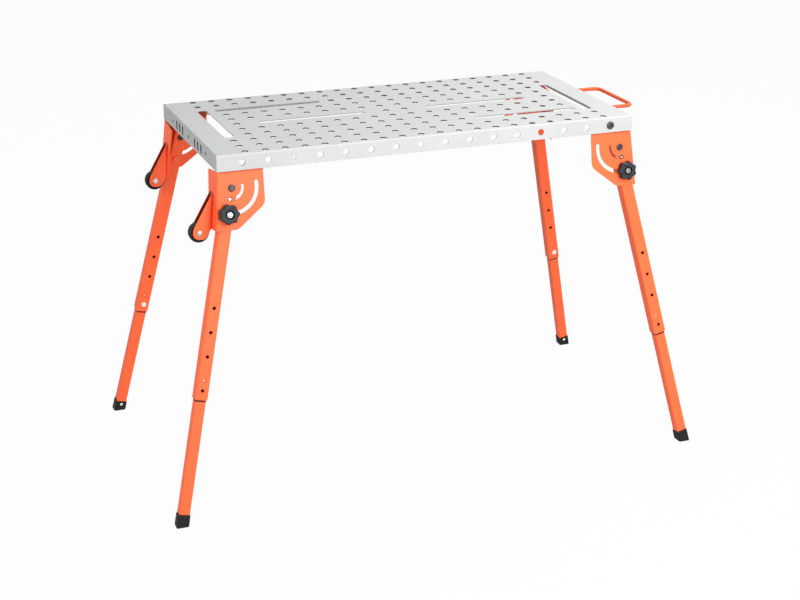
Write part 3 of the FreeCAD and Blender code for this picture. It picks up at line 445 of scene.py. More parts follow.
def shape_ring(verts, radius, height):
    """Set a ring's radius, a number or a function of the angle, and its height."""
    for v in verts:
        angle = math.atan2(v.co.y, v.co.x)
        reach = radius(angle) if callable(radius) else radius
        v.co = Vector((reach * math.cos(angle), reach * math.sin(angle), height))


def close(bm, edges):
    """Fill a loop with one face."""
    bmesh.ops.edgeloop_fill(bm, edges=edges)


def turned(bm, steps, segments=24, rim=(), gap=(), shade=0.0, bored=False):
    """A closed turned piece, extruded from its first ring through (radius, height) steps.

    rim and gap list the steps that are softened edges or take painted shade, and shade paints the
    whole piece darker as painted shade. A bored piece ends where it starts, and another gets two end
    faces.
    """
    verts = bmesh.ops.create_circle(bm, segments=segments, radius=1.0)["verts"]
    shape_ring(verts, *steps[0])
    first = last = edges_of(verts)
    for index, step in enumerate(steps[1:], 1):
        made = bmesh.ops.extrude_edge_only(bm, edges=last)["geom"]
        shape_ring(picked(made, BMVert), *step)
        last = picked(made, BMEdge)
        for label, listed in (("rim", rim), ("gap", gap)):
            if index in listed:
                mark(bm, picked(made, BMFace), label)
    if bored:
        bmesh.ops.bridge_loops(bm, edges=first + last)
    else:
        close(bm, first)
        close(bm, last)
    if shade:
        mark(bm, bm.faces, "gap", shade)


def hexagon(flats):
    """The outline of a hexagon as a radius for each angle."""
    step = math.pi / 3
    return lambda angle: flats / 2 / math.cos((angle + step / 2) % step - step / 2)


def blunt_hexagon(flats):
    """A hexagon whose corners are turned off."""
    six = hexagon(flats)
    return lambda angle: min(six(angle), flats / 2 * BLUNT_SHARE)


def star(width, scallop, lobes=7, roundness=14):
    """The outline of a lobed knob as a radius for each angle."""
    far = width / 2 + 0.34 * scallop
    step = 2 * math.pi / lobes

    def radius(angle):
        off = (angle - QUARTER + step / 2) % step - step / 2
        inside = (scallop / 2) ** 2 - (far * math.sin(off)) ** 2
        hollow = far * math.cos(off) - math.sqrt(inside) if inside > 0 else width
        return (hollow**-roundness + (width / 2) ** -roundness) ** (-1 / roundness)

    return radius


def widened(radius, by):
    """An outline moved out by a distance, or in where it is negative."""
    return lambda angle: radius(angle) + by


def put(bm, draw, place):
    """Draw something into a drawing and set it in its place."""
    part = new_drawing()
    draw(part)
    bmesh.ops.recalc_face_normals(part, faces=part.faces[:])
    bmesh.ops.transform(part, matrix=place, verts=part.verts[:])
    if place.determinant() < 0:
        bmesh.ops.reverse_faces(part, faces=part.faces[:])
    join(bm, part)


def build(name, slot, body, node, *drawings):
    """Make a piece from (drawing, place) pairs; it stands for a CAD node and rides on a body."""
    bm = new_drawing()
    for draw, place in drawings:
        put(bm, draw, place)
    for face in bm.faces:
        face.smooth = True
    mesh = bpy.data.meshes.new(name)
    bm.to_mesh(mesh)
    bm.free()
    mesh.set_sharp_from_angle(angle=CREASE)
    mesh.materials.append(finish_material(slot))
    piece = bpy.data.objects.new(name, mesh)
    bpy.context.scene.collection.objects.link(piece)
    even = piece.modifiers.new("even_shading", "WEIGHTED_NORMAL")
    even.mode = "FACE_AREA_WITH_ANGLE"
    even.keep_sharp = True
    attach(piece, body)
    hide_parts(node)


# Places


def along(x=0.0, y=0.0, z=0.0):
    """A move."""
    return Matrix.Translation((x, y, z))


def axis_turn(x, y, z):
    """A turn that sends the drawing's axes to the given ones."""
    return Matrix((x, y, z)).transposed().to_4x4()


# For a drawing on the leg's inner face that looks away from the leg.
FACE_IN = axis_turn((1, 0, 0), (0, -1, 0), (0, 0, -1))


def place_of(x, y, z, at):
    """A frame for a drawing in millimetres from its axes and its origin in metres."""
    return Matrix.Translation(at) @ axis_turn(x, y, z) @ Matrix.Scale(0.001, 4)


def level_place(height):
    """A level frame over the middle of the floor, at a height in millimetres."""
    return place_of((1, 0, 0), (0, 1, 0), (0, 0, 1), (0, 0, height / 1000))


def bracket_axes(corner):
    """A bracket plate's own axes: level, up the plate and out of it."""
    out = Vector(JOINTS[f"knob_turn_{corner}"]["axis"])
    level = (-out).cross(Vector((0, 0, 1))).normalized()
    return level, out.cross(level), out


def bracket_place(corner):
    """Origin on the pivot at the plate's inner face, z out of the plate, x to the table's end."""
    level, up, out = bracket_axes(corner)
    return place_of(level * CORNERS[corner], up, out, JOINTS[f"leg_fold_{corner}"]["pos_m"])


def leg_place(corner):
    """Origin on the pivot, y up the leg, z out of the leg's outer face."""
    out = Vector(JOINTS[f"knob_turn_{corner}"]["axis"])
    up = Vector(JOINTS[f"leg_slide_{corner}"]["axis"])
    return place_of(up.cross(out), up, out, JOINTS[f"leg_fold_{corner}"]["pos_m"])


def tube_place(corner, width):
    """From a rolled tube to its leg: the tube's second face looks out of the leg."""
    turn = axis_turn((0, 0, 1), (0, 1, 0), (-1, 0, 0))
    return leg_place(corner) @ along(-width / 2, 0, LEG_AXIS) @ turn


def fork_place(side):
    """Origin on the wheel's axle: x out from the bracket's flange, y along the axle, z up."""
    corner = WHEEL_CORNERS[side]
    level, rise, _ = bracket_axes(corner)
    out = level * CORNERS[corner] * math.cos(FLANGE_LEAN) + rise * math.sin(FLANGE_LEAN)
    up = (Vector((0, 0, 1)) - out * out.z).normalized()
    return place_of(out, up.cross(out), up, JOINTS[f"wheel_spin_{side}"]["pos_m"])


# Finishes

# Each finish: metallic, roughness, how far its tone drifts, the scale and depth (m) of its relief,
# its handling marks, how far it is worn pale at edges, its specular level and how dark the walls
# of its holes are painted, as painted shade.
Finish = namedtuple("Finish", "metal rough drift scale depth marks edge shine bore", defaults=(0.0,))
FINISHES = {
    "top_coat": Finish(0.05, 0.66, 0.05, 900, 3e-5, 0.1, 0.05, 0.09, 0.95),
    "orange_coat": Finish(0.0, 0.5, 0.07, 650, 6e-5, 0.07, 0.03, 0.25, 0.3),
    "button_coat": Finish(0.2, 0.45, 0.05, 800, 2e-5, 0.1, 0.0, 0.5),
    "zinc": Finish(1.0, 0.34, 0.12, 500, 2e-5, 0.16, 0.2, 0.5),
    "black_bolt": Finish(0.35, 0.4, 0.25, 900, 2e-5, 0.14, 0.06, 0.4),
    "knob_plastic": Finish(0.0, 0.46, 0.12, 1500, 4e-5, 0.12, 0.04, 0.15),
    "foot_plastic": Finish(0.0, 0.62, 0.14, 1100, 7e-5, 0.16, 0.02, 0.14),
    "wheel_plastic": Finish(0.0, 0.55, 0.14, 1200, 5e-5, 0.16, 0.02, 0.13),
}


def feed(tree, socket, source):
    """Give an input a value, or link it to another node's output."""
    if isinstance(source, NodeSocket):
        tree.links.new(source, socket)
    else:
        socket.default_value = source


def add_node(tree, kind, inputs=None, **settings):
    """A node with its settings, and its inputs as values or other nodes' outputs."""
    node = tree.nodes.new(kind)
    for key, value in settings.items():
        setattr(node, key, value)
    for key, source in (inputs or {}).items():
        feed(tree, node.inputs[key], source)
    return node


def calculate(tree, operation, *terms, clamp=False):
    """The result of a maths node."""
    inputs = dict(enumerate(terms))
    return add_node(tree, "ShaderNodeMath", inputs, operation=operation, use_clamp=clamp).outputs[0]


def noise(tree, place, scale, detail):
    """The value of a noise pattern."""
    inputs = {"Vector": place, "Scale": scale, "Detail": detail}
    return add_node(tree, "ShaderNodeTexNoise", inputs).outputs["Fac"]


def mixed(tree, share, first, second):
    """A colour between two others."""
    settings = {"data_type": "RGBA", "blend_type": "MIX"}
    return add_node(tree, "ShaderNodeMix", {0: share, 6: first, 7: second}, **settings).outputs[2]


def marked(tree, label):
    """How far the piece's faces are marked."""
    return add_node(tree, "ShaderNodeAttribute", attribute_name=label).outputs["Fac"]


def object_place(tree):
    """The place on the piece."""
    return add_node(tree, "ShaderNodeTexCoord").outputs["Object"]


def new_group(name, inputs, output, kind="NodeSocketFloat"):
    """An empty shader node group, with its inputs' outputs and its result's input inside it."""
    group = bpy.data.node_groups.new(name, "ShaderNodeTree")
    for label, value in inputs.items():
        takes = "NodeSocketColor" if isinstance(value, tuple) else "NodeSocketFloat"
        socket = group.interface.new_socket(name=label, in_out="INPUT", socket_type=takes)
        socket.default_value = value
    group.interface.new_socket(name=output, in_out="OUTPUT", socket_type=kind)
    start, end = group.nodes.new("NodeGroupInput"), group.nodes.new("NodeGroupOutput")
    return group, start.outputs, end.inputs[output]


def coat_tone():
    """Slow drift of a coat's tone with a fine speckle over it."""
    inputs = {"Colour": (0.5, 0.5, 0.5, 1), "Drift": 0.1}
    group, given, result = new_group("coat_tone", inputs, "Colour", "NodeSocketColor")
    place = object_place(group)
    speckle = calculate(group, "MULTIPLY", noise(group, place, 420.0, 2.0), 0.4)
    both = calculate(group, "MULTIPLY_ADD", noise(group, place, 9.0, 3.0), 0.6, speckle)
    swing = calculate(group, "SUBTRACT", both, 0.5)
    wide = calculate(group, "MULTIPLY", swing, given["Drift"])
    value = calculate(group, "MULTIPLY_ADD", wide, 4.0, 1.0)
    tone = add_node(group, "ShaderNodeHueSaturation", {"Color": given["Colour"], "Value": value})
    feed(group, result, tone.outputs["Color"])
    return group


def coat_edge():
    """Where a softened edge shows: the marked faces, broken up a little."""
    group, given, result = new_group("coat_edge", {"Amount": 0.3}, "Mask")
    inputs = {"Value": noise(group, object_place(group), 60.0, 4.0), "From Min": 0.3, "From Max": 0.6}
    broken = add_node(group, "ShaderNodeMapRange", inputs).outputs[0]
    mask = calculate(group, "MULTIPLY", marked(group, "rim"), broken)
    feed(group, result, calculate(group, "MULTIPLY", mask, given["Amount"]))
    return group


def coat_relief():
    """The fine skin of a coat or moulding: an even grain with a softer wave under it."""
    group, given, result = new_group("coat_relief", {"Scale": 800.0}, "Height")
    place = object_place(group)
    grain = noise(group, place, given["Scale"], 2.0)
    wave = noise(group, place, calculate(group, "MULTIPLY", given["Scale"], 0.22), 1.0)
    feed(group, result, calculate(group, "ADD", grain, wave))
    return group


def handling_marks():
    """Faint rubbed streaks from handling, as a change of roughness."""
    inputs = {"Roughness": 0.4, "Amount": 0.1}
    group, given, result = new_group("handling_marks", inputs, "Roughness")
    place = object_place(group)
    stretch = {"Vector": place, "Rotation": (0.3, 0.2, 0.6), "Scale": (6.0, 55.0, 30.0)}
    streak = noise(group, add_node(group, "ShaderNodeMapping", stretch).outputs[0], 2.2, 5.0)
    both = calculate(group, "ADD", streak, noise(group, place, 14.0, 3.0))
    swing = calculate(group, "SUBTRACT", both, 1.0)
    rough = calculate(group, "MULTIPLY_ADD", swing, given["Amount"], given["Roughness"], clamp=True)
    feed(group, result, rough)
    return group


def use_group(tree, make, inputs):
    """The result of a node group placed in a material; the group is made once, under its maker's name."""
    group = bpy.data.node_groups.get(make.__name__) or make()
    return add_node(tree, "ShaderNodeGroup", inputs, node_tree=group).outputs[0]


def finish_material(slot):
    """The material of one of the record's finishes, made once."""
    name = f"finish_{slot}"
    if name in bpy.data.materials:
        return bpy.data.materials[name]
    finish = FINISHES[slot]
    base = tuple(getattr(bpy.context.scene.weld_table_colours, slot))
    worn = tuple(WORN_SHARE * channel + WORN_ADDED for channel in base) + (1.0,)
    shade_colour = tuple(SHADE_SHARE * channel for channel in base) + (1.0,)
    material = bpy.data.materials.new(name)
    material.use_nodes = True
    tree = material.node_tree
    tone = use_group(tree, coat_tone, {"Colour": base + (1.0,), "Drift": finish.drift})
    edge = use_group(tree, coat_edge, {"Amount": finish.edge})
    # Painted shade: marked hole walls and gap faces are mixed toward a darker copy of the coat.
    dark = calculate(
        tree, "MULTIPLY_ADD", marked(tree, "bore"), finish.bore, marked(tree, "gap"), clamp=True
    )
    relief = use_group(tree, coat_relief, {"Scale": finish.scale})
    bump = {"Strength": 0.5, "Distance": finish.depth, "Height": relief}
    surface = {
        "Base Color": mixed(tree, dark, mixed(tree, edge, tone, worn), shade_colour),
        "Metallic": finish.metal,
        "Roughness": use_group(tree, handling_marks, {"Roughness": finish.rough, "Amount": finish.marks}),
        "Specular IOR Level": finish.shine,
        "Normal": add_node(tree, "ShaderNodeBump", bump).outputs["Normal"],
    }
    shader = tree.nodes["Principled BSDF"]
    for key, source in surface.items():
        feed(tree, shader.inputs[key], source)
    return material


# Pieces


def draw_top(bm, sizes):
    """The cross-shaped blank of the top with all its holes, then its four folds."""
    half_long, half_wide = mm(sizes.long) / 2, mm(sizes.wide) / 2
    bend, sheet, pitch = mm(sizes.bend), mm(sizes.sheet), mm(sizes.pitch)
    x, y = half_long - bend, half_wide - bend
    drop = bend * QUARTER + mm(sizes.apron) - bend
    tuck = min(half_wide - sheet - mm(sizes.slit), y - FOLD_CLEAR)
    relief = x - CORNER_RELIEF
    quarter = [
        (half_long, -y - drop),
        (half_long, -y),
        (relief, -y),
        (relief, -tuck),
        (x + drop, -tuck),
    ]
    points = quarter + [(px, -py) for px, py in reversed(quarter)]
    outline(bm, points + [(-px, -py) for px, py in points])
    for row, runs in enumerate(GRID_ROWS):
        for first, count in runs:
            for column in range(first, first + count):
                across, up = column - MIDDLE_COLUMN, MIDDLE_ROW - row
                round_hole(bm, across * pitch, up * pitch, mm(sizes.hole))
    for across, up in LONG_SLOTS:
        slot_hole(bm, across * pitch, up * pitch, SLOT_LENGTH, LONG_SLOT_WIDTH)
    for across, up in CROSS_SLOTS:
        slot_hole(bm, across * pitch, up * pitch, SLOT_LENGTH, CROSS_SLOT_WIDTH, QUARTER)
    # The apron holes' distance out from the fold line on the flat blank.
    lift = bend * QUARTER - bend + APRON_ROW
    for side, small in SMALL_SIDE_HOLES:
        for index, place in enumerate(SIDE_HOLES):
            round_hole(bm, place, side * (y + lift), SMALL_HOLE if index == small else SIDE_HOLE)
        for place in END_HOLES:
            round_hole(bm, side * (x + lift), place, SMALL_HOLE)
    for place in END_SLOTS:
        for side in (-1, 1):
            slot_hole(bm, -(x + lift), side * place, *END_SLOT_SIZE)
    for side in (-1, 1):
        round_hole(bm, x + lift, side * HANDLE_HALF, HANDLE_HOLE)
    cut_blank(bm, sheet, mm(sizes.rim))
    # The walls of the side aprons' holes are lit, so they get only a little painted shade.
    walls = bm.faces.layers.float["bore"]
    lit = [f for f in bm.faces if f[walls] > 0 and abs(f.calc_center_median().y) > y]
    mark(bm, lit, "bore", APRON_HOLE_SHADE)

    def is_end(point):
        return abs(point.y) <= tuck + NEAR

    folds = [(Vector((0, way * y, 0)), Vector((0, way, 0)), QUARTER, bend, None) for way in (-1, 1)]
    folds += [(Vector((way * x, 0, 0)), Vector((way, 0, 0)), QUARTER, bend, is_end) for way in (-1, 1)]
    fold(bm, folds)


def draw_bracket(bm, sizes, strip_hole):
    """The bracket's blank: leg plate, end flange and the strip behind the apron, then its folds."""
    sheet, bend = mm(sizes.sheet), mm(sizes.bend)
    top = (FOLD_HEIGHT - sheet * math.sin(BRACKET_TILT)) / math.cos(BRACKET_TILT)
    bottom = top - PLATE_HEIGHT
    out = Vector((math.cos(FLANGE_LEAN), math.sin(FLANGE_LEAN), 0))
    upper = Vector((FLANGE_X, top, 0)) - out * bend
    lower = Vector((FLANGE_X + PLATE_HEIGHT * math.tan(FLANGE_LEAN), bottom, 0)) - out * bend
    arc = bend * QUARTER
    strip_x, strip_top = upper.x - STRIP_BACK, top + STRIP_HEIGHT
    points = [
        (strip_x, upper.y),
        (strip_x, strip_top),
        (PLATE_END, strip_top),
        (PLATE_END, top - PLATE_SIDE),
        (PLATE_FOOT, bottom),
        lower.xy,
        (lower + out * (arc + FLANGE_FOOT - bend)).xy,
        (upper + out * (arc + FLANGE_TOP - bend)).xy,
        upper.xy,
    ]
    outline(bm, points, ((3, 11.5), (4, 8.4), (6, 6.0), (7, 4.0)))
    round_hole(bm, 0, 0, BOLT_HOLE)
    start, sweep = SPLAY - QUARTER, -(SPLAY + FOLDED)
    arc_hole(bm, DETENT_REACH, DETENT_SLOT, start, sweep, head=DETENT_HOLE)
    arc_hole(bm, KNOB_REACH, KNOB_SLOT, start, sweep)
    half_long = mm(bpy.context.scene.weld_table_top.long) / 2
    round_hole(bm, FLANGE_X - half_long + SIDE_HOLES[-1], top + STRIP_HOLE_RISE, strip_hole)
    cut_blank(bm, sheet, mm(sizes.rim), segments=2)
    # The plate gets painted shade under the apron and inside in the corner between the leg and the
    # flange, and a line of painted shadow on its outside just under the apron.
    dim_from = top - DIM_BELOW
    cut_across(bm, (0, dim_from, 0), (0, 1, 0))
    cut_across(bm, (DIM_CORNER, 0, 0), (1, 0, 0))
    cut_across(bm, upper, out)
    middles = {f: f.calc_center_median() for f in bm.faces}
    plate = [f for f, at in middles.items() if (at - upper).dot(out) < 0]
    inside = [f for f in plate if f.normal.z < -FACING]
    outside = [f for f in plate if f.normal.z > FACING]
    mark(bm, [f for f in inside if middles[f].x > DIM_CORNER], "gap", BRACKET_CORNER_SHADE)
    mark(bm, [f for f in inside if middles[f].y > dim_from], "gap", UNDER_APRON_SHADE)
    mark(bm, [f for f in outside if middles[f].y > dim_from], "gap", APRON_LINE_SHADE)

    def is_strip(point):
        return point.x < strip_x + NEAR and point.y > top - NEAR

    fold(
        bm,
        [
            (upper, out, QUARTER, bend, lambda point: not is_strip(point)),
            (Vector((0, top, 0)), Vector((0, 1, 0)), -BRACKET_TILT, 0.0, is_strip),
        ],
    )


def draw_fork(bm, sizes):
    """The fork's blank: a web with a cheek on each side, then its two folds."""
    sheet, bend, gap = mm(sizes.fork_sheet), mm(sizes.fork_bend), mm(sizes.fork_gap)
    web_low, web_high = 15, 100
    toe_near, toe_far, toe_low, toe_high = 14, 46, -16, 8
    line = gap / 2 + sheet - bend
    shift = line + bend * QUARTER - bend
    low = web_low - bend * (web_low - toe_low) / toe_near
    high = toe_high + (web_high - toe_high) * (toe_far - bend) / (toe_far - sheet)
    right = [
        (line, web_low),
        (shift + bend, low),
        (shift + toe_near, toe_low),
        (shift + toe_far, toe_low),
        (shift + toe_far, toe_high),
        (shift + bend, high),
        (line, web_high),
    ]
    points = right + [(-x, y) for x, y in reversed(right)]
    outline(bm, points, ((2, 10.0), (3, 15.5), (4, 8.0), (9, 8.0), (10, 15.5), (11, 10.0)))
    for side in (-1, 1):
        round_hole(bm, side * (shift + AXLE_REACH), 0, BOLT_HOLE, 24)
    cut_blank(bm, sheet, mm(sizes.rim), segments=2)
    # Painted shade on the inner faces of the cheeks, in the channel between them.
    mark(bm, [f for f in bm.faces if f.normal.z < -FACING], "gap", FORK_SHADE)
    lines = [(Vector((way * line, 0, 0)), Vector((way, 0, 0))) for way in (1, -1)]
    fold(bm, [(at, out, QUARTER, bend, None) for at, out in lines])


def draw_tube(bm, width, wall, corner, start, end, front, back, gap=()):
    """A square tube rolled from a flat blank, with holes (distance down, diameter) in two faces.

    A gap (from, to) along the tube is marked for painted shade, the contact shadow under the outer tube's
    end.
    """
    face = width - 2 * corner
    side = face + corner * QUARTER
    around = 4 * side
    outline(bm, [(0, -end), (around, -end), (around, -start), (0, -start)])
    for holes, middle in ((front, side), (back, 3 * side)):
        for down, across in holes:
            round_hole(bm, middle, -down, across)
    cut_blank(bm, wall, TUBE_RIM, segments=2, open_at=(0, around))
    for down in gap:
        cut_across(bm, (0, -down, 0), (0, 1, 0))
    # Painted shade: a dark ring where the outer tube's end shades the inner tube.
    if gap:
        shaded_faces = [f for f in bm.faces if min(gap) < -f.calc_center_median().y < max(gap)]
        mark(bm, shaded_faces, "gap")
    lines = [face / 2 + index * side for index in (3, 2, 1, 0)]
    fold(bm, [(Vector((x, 0, 0)), Vector((1, 0, 0)), QUARTER, corner, None) for x in lines], steps=5)
    bmesh.ops.remove_doubles(bm, verts=bm.verts[:], dist=SEAM)


def build_tubes(label, body, width, **details):
    """Roll the same tube for each corner."""
    draw = partial(draw_tube, width=width, **details)
    for corner in CORNERS:
        leg = f"{body}_{corner}"
        build(f"{label}_{corner}", "orange_coat", leg, leg, (draw, tube_place(corner, width)))


def draw_foot(bm, sizes, floor):
    """A moulded cap round the tube's end, its sole level with the floor.

    floor is the row of the foot's place that gives the height over the floor.
    """
    half, rounding = mm(sizes.foot) / 2, mm(sizes.foot_round)
    socket = mm(sizes.inner) / 2 + FIT
    outline(bm, [(socket, -socket), (socket, socket), (-socket, socket), (-socket, -socket)])
    close(bm, bm.edges[:])
    soften(bm, bm.verts[:], rounding, 4, "VERTICES")
    bmesh.ops.translate(bm, vec=(0, 0, -INNER_END), verts=bm.verts[:])
    step = rounding * (1 - math.sqrt(0.5))
    # The cap's section as (half width, distance below its top), down to the sole on the floor.
    path = [
        (socket, 0.8),
        (socket + 0.8, 0),
        (half - rounding, 0),
        (half - step, step),
        (half, rounding),
        (half, 9),
        (half - 0.5, 9.7),
        (half - 0.5, 10.7),
        (half, 11.4),
        (half, None),
    ]
    loop, size = bm.faces[:][0].edges[:], socket
    for reach, below in path:
        grown = bmesh.ops.extrude_edge_only(bm, edges=loop)["geom"]
        for v in picked(grown, BMVert):
            v.co.x *= reach / size
            v.co.y *= reach / size
            if below is None:
                v.co.z = -(floor[3] + floor[0] * v.co.x + floor[1] * v.co.y) / floor[2]
            else:
                v.co.z = -FOOT_TOP - below
        loop, size = picked(grown, BMEdge), reach
    sole = bmesh.ops.edgeloop_fill(bm, edges=loop)["faces"][0]
    mark(bm, soften(bm, sole.edges[:], 1.4, 3, "EDGES"), "rim")


def draw_knob(bm, sizes):
    """A lobed knob on a boss, with a sunk ring round its bush."""
    lobes = star(mm(sizes.knob), mm(sizes.knob_scallop))
    steps = [
        (4.1, 3.3),
        (12.7, 3.3),
        (13.5, 4.1),
        (13.5, 8.6),
        (14.3, 9.3),
        (widened(lobes, -1.6), 9.3),
        (widened(lobes, -0.5), 9.8),
        (lobes, 11.0),
        (lobes, 20.6),
        (widened(lobes, -0.35), 22.2),
        (widened(lobes, -1.2), 23.5),
        (widened(lobes, -2.8), 24.25),
        (widened(lobes, -4.6), 24.3),
        (12.4, 24.0),
        (11.4, 23.6),
        (11.0, 22.8),
        (10.6, 19.6),
        (7.0, 19.3),
        (7.0, 15.3),
        (4.1, 15.3),
    ]
    # Painted shade in the sunk ring round the bush (steps 15 to 17).
    turned(bm, steps, 112, rim=(9, 10, 14), gap=(15, 16, 17), bored=True)


def draw_detent(bm):
    """A sprung pin: a wide foot inside the leg, and a tip that stands in the plate's hole."""
    tip = 2.0
    # Painted shade: the foot's side and top ring make a dark ring round the tip, and the tip is dimmed as
    # a darker painted reflection.
    turned(bm, [(6.0, -4.45), (6.0, -2.45), (3.1, -2.45), (3.1, tip), (2.9, 2.3), (2.5, 2.4)], gap=(1, 2))
    mark(bm, [f for f in bm.faces if f.calc_center_median().z > tip], "gap", DETENT_SHADE)


def draw_hex_bolt(bm, flats, height, base, shank, tip, flange=0.0):
    """A hexagon head with a turned-off corner, on a plain shank; a flange may widen its seat."""
    six, half, high = hexagon(flats), shank / 2, base + height
    end, lead = flats / 2 - HEX_INSET, math.copysign(TIP_LEAD, base - tip)
    seat = [(end, base), (six, base + HEX_INSET)]
    if flange:
        edge = flange / 2
        seat = [(edge, base), (edge, base + 0.7), (edge - 0.6, base + 1.2), (six, base + 1.7)]
    steps = [(half - TIP_LEAD, tip), (half, tip + lead), (half, base)] + seat
    steps += [(six, high - HEX_TURNED), (blunt_hexagon(flats), high - HEX_BLUNT), (end, high)]
    turned(bm, steps, rim=(len(steps) - 2, len(steps) - 1))


def draw_socket_bolt(bm, head, height, shank, tip):
    """A low round head with a hexagon socket, its seat at z = 0."""
    half, socket = head / 2, hexagon(head * 0.45)
    steps = [
        (shank / 2 - TIP_LEAD, tip),
        (shank / 2, tip + TIP_LEAD),
        (shank / 2, 0),
        (half - 0.3, 0),
        (half, 0.3),
        (half, height * 0.45),
        (half - 0.8, height * 0.8),
        (half - 2.2, height),
        (half * 0.52, height),
        (socket, height - 0.4),
        (socket, height - 3),
    ]
    turned(bm, steps, 36, rim=(6, 7, 9))


def draw_nut(bm, flats, height, bore):
    """A hexagon nut from z = 0 up, its corners turned off."""
    six, blunt = hexagon(flats), blunt_hexagon(flats)
    edge, hole = flats / 2 - HEX_INSET, bore / 2
    steps = [
        (hole, BORE_LEAD),
        (hole + BORE_LEAD, 0),
        (edge, 0),
        (blunt, HEX_BLUNT),
        (six, HEX_TURNED),
        (six, height - HEX_TURNED),
        (blunt, height - HEX_BLUNT),
        (edge, height),
        (hole + BORE_LEAD, height),
        (hole, height - BORE_LEAD),
    ]
    turned(bm, steps, rim=(3, 7), bored=True)


def draw_wheel(bm, sizes):
    """A moulded wheel: crowned tread with a parting line, sunk webs and a hub."""
    half, wide = mm(sizes.wheel) / 2, mm(sizes.wheel_width) / 2
    side = [
        (4.05, wide),
        (8.3, wide),
        (9.0, wide - 0.6),
        (9.3, wide - 2.5),
        (half - 5.6, wide - 2.5),
        (half - 5.2, wide - 0.7),
        (half - 4.6, wide - 0.1),
        (half - 2.4, wide - 0.1),
        (half - 0.9, wide - 0.9),
        (half - 0.2, wide - 2.4),
        (half - 0.05, wide - 5.0),
        (half, 0.5),
    ]
    groove = [(half - 0.25, 0.0)]
    steps = [(r, -z) for r, z in side] + groove + side[::-1]
    turned(bm, steps, 56, rim=(7, 8, 18, 19), bored=True)


def draw_handle(bm, sizes, reach, tail):
    """A U of round rod: extruded along its runs and spun through its bends."""
    bend = mm(sizes.handle_bend)
    side, far = HANDLE_HALF - bend, reach - bend
    start = along(tail, HANDLE_HALF) @ Matrix.Rotation(QUARTER, 4, "Y")
    verts = bmesh.ops.create_circle(bm, segments=20, radius=mm(sizes.rod) / 2, matrix=start)["verts"]
    loop = edges_of(verts)
    close(bm, loop)

    def run(edges, way):
        made = bmesh.ops.extrude_edge_only(bm, edges=edges)["geom"]
        bmesh.ops.translate(bm, vec=way, verts=picked(made, BMVert))
        return picked(made, BMEdge)

    def elbow(edges, middle):
        made = bmesh.ops.spin(
            bm, geom=edges, cent=middle, axis=(0, 0, 1), angle=-QUARTER, steps=10, use_merge=False
        )["geom_last"]
        return picked(made, BMEdge)

    loop = run(loop, (far - tail, 0, 0))
    loop = elbow(loop, (far, side, 0))
    loop = run(loop, (0, -2 * side, 0))
    loop = elbow(loop, (far, -side, 0))
    close(bm, run(loop, (tail - far, 0, 0)))
    # Painted shade: the whole handle is darkened a little in its colour.
    mark(bm, bm.faces, "gap", HANDLE_SHADE)


class WELDTABLE_OT_top(Operator):
    """Fold the perforated top from its flat blank"""

    bl_idname = "weld_table.top"
    bl_label = "Top sheet"

    def execute(self, context):
        draw = partial(draw_top, sizes=context.scene.weld_table_top)
        build("top_sheet", "top_coat", "table", "table_top", (draw, level_place(TOP_Z)))
        return {"FINISHED"}


class WELDTABLE_OT_brackets(Operator):
    """Fold the four leg brackets"""

    bl_idname = "weld_table.brackets"
    bl_label = "Leg brackets"

    def execute(self, context):
        sizes = context.scene.weld_table_brackets
        for corner, way in CORNERS.items():
            # Two strips hold an apron bolt; the other two leave the apron's hole free.
            hole = BOLTED_STRIP_HOLE if way > 0 else FREE_STRIP_HOLE
            draw = partial(draw_bracket, sizes=sizes, strip_hole=hole)
            place = bracket_place(corner) @ along(z=mm(sizes.sheet))
            build(f"leg_bracket_{corner}", "orange_coat", "table", f"bracket_{corner}", (draw, place))
        return {"FINISHED"}


class WELDTABLE_OT_outer_legs(Operator):
    """Roll the four outer leg tubes"""

    bl_idname = "weld_table.outer_legs"
    bl_label = "Outer leg tubes"

    def execute(self, context):
        sizes = context.scene.weld_table_legs
        pivot, knob = (0, TUBE_PIVOT_HOLE), (KNOB_REACH, BOLT_HOLE)
        build_tubes(
            "outer_tube",
            "leg",
            mm(sizes.outer),
            wall=mm(sizes.outer_wall),
            corner=mm(sizes.outer_corner),
            start=OUTER_START,
            end=OUTER_END,
            front=[pivot, knob, (LOCK_REACH, LOCK_HOLE), (DETENT_REACH, PIN_HOLE)] + ADJUSTING_HOLES,
            back=[pivot, knob, (LOCK_REACH, BOLT_HOLE)] + ADJUSTING_HOLES,
        )
        return {"FINISHED"}


class WELDTABLE_OT_inner_legs(Operator):
    """Roll the four sliding inner tubes"""

    bl_idname = "weld_table.inner_legs"
    bl_label = "Inner leg tubes"

    def execute(self, context):
        sizes = context.scene.weld_table_legs
        build_tubes(
            "inner_tube",
            "inner_leg",
            mm(sizes.inner),
            wall=mm(sizes.inner_wall),
            corner=mm(sizes.inner_corner),
            start=INNER_START,
            end=INNER_END,
            front=[(SNAP_REACH, SNAP_HOLE), (LOCK_REACH, BOLT_HOLE)],
            back=[(SNAP_REACH, SNAP_HOLE), (FOOT_SCREW_REACH, SCREW_HOLE)],
            # Painted shade: the dark ring just under the outer tube's end.
            gap=(OUTER_END - SHADE_RING_IN, OUTER_END + SHADE_RING_OUT),
        )
        return {"FINISHED"}


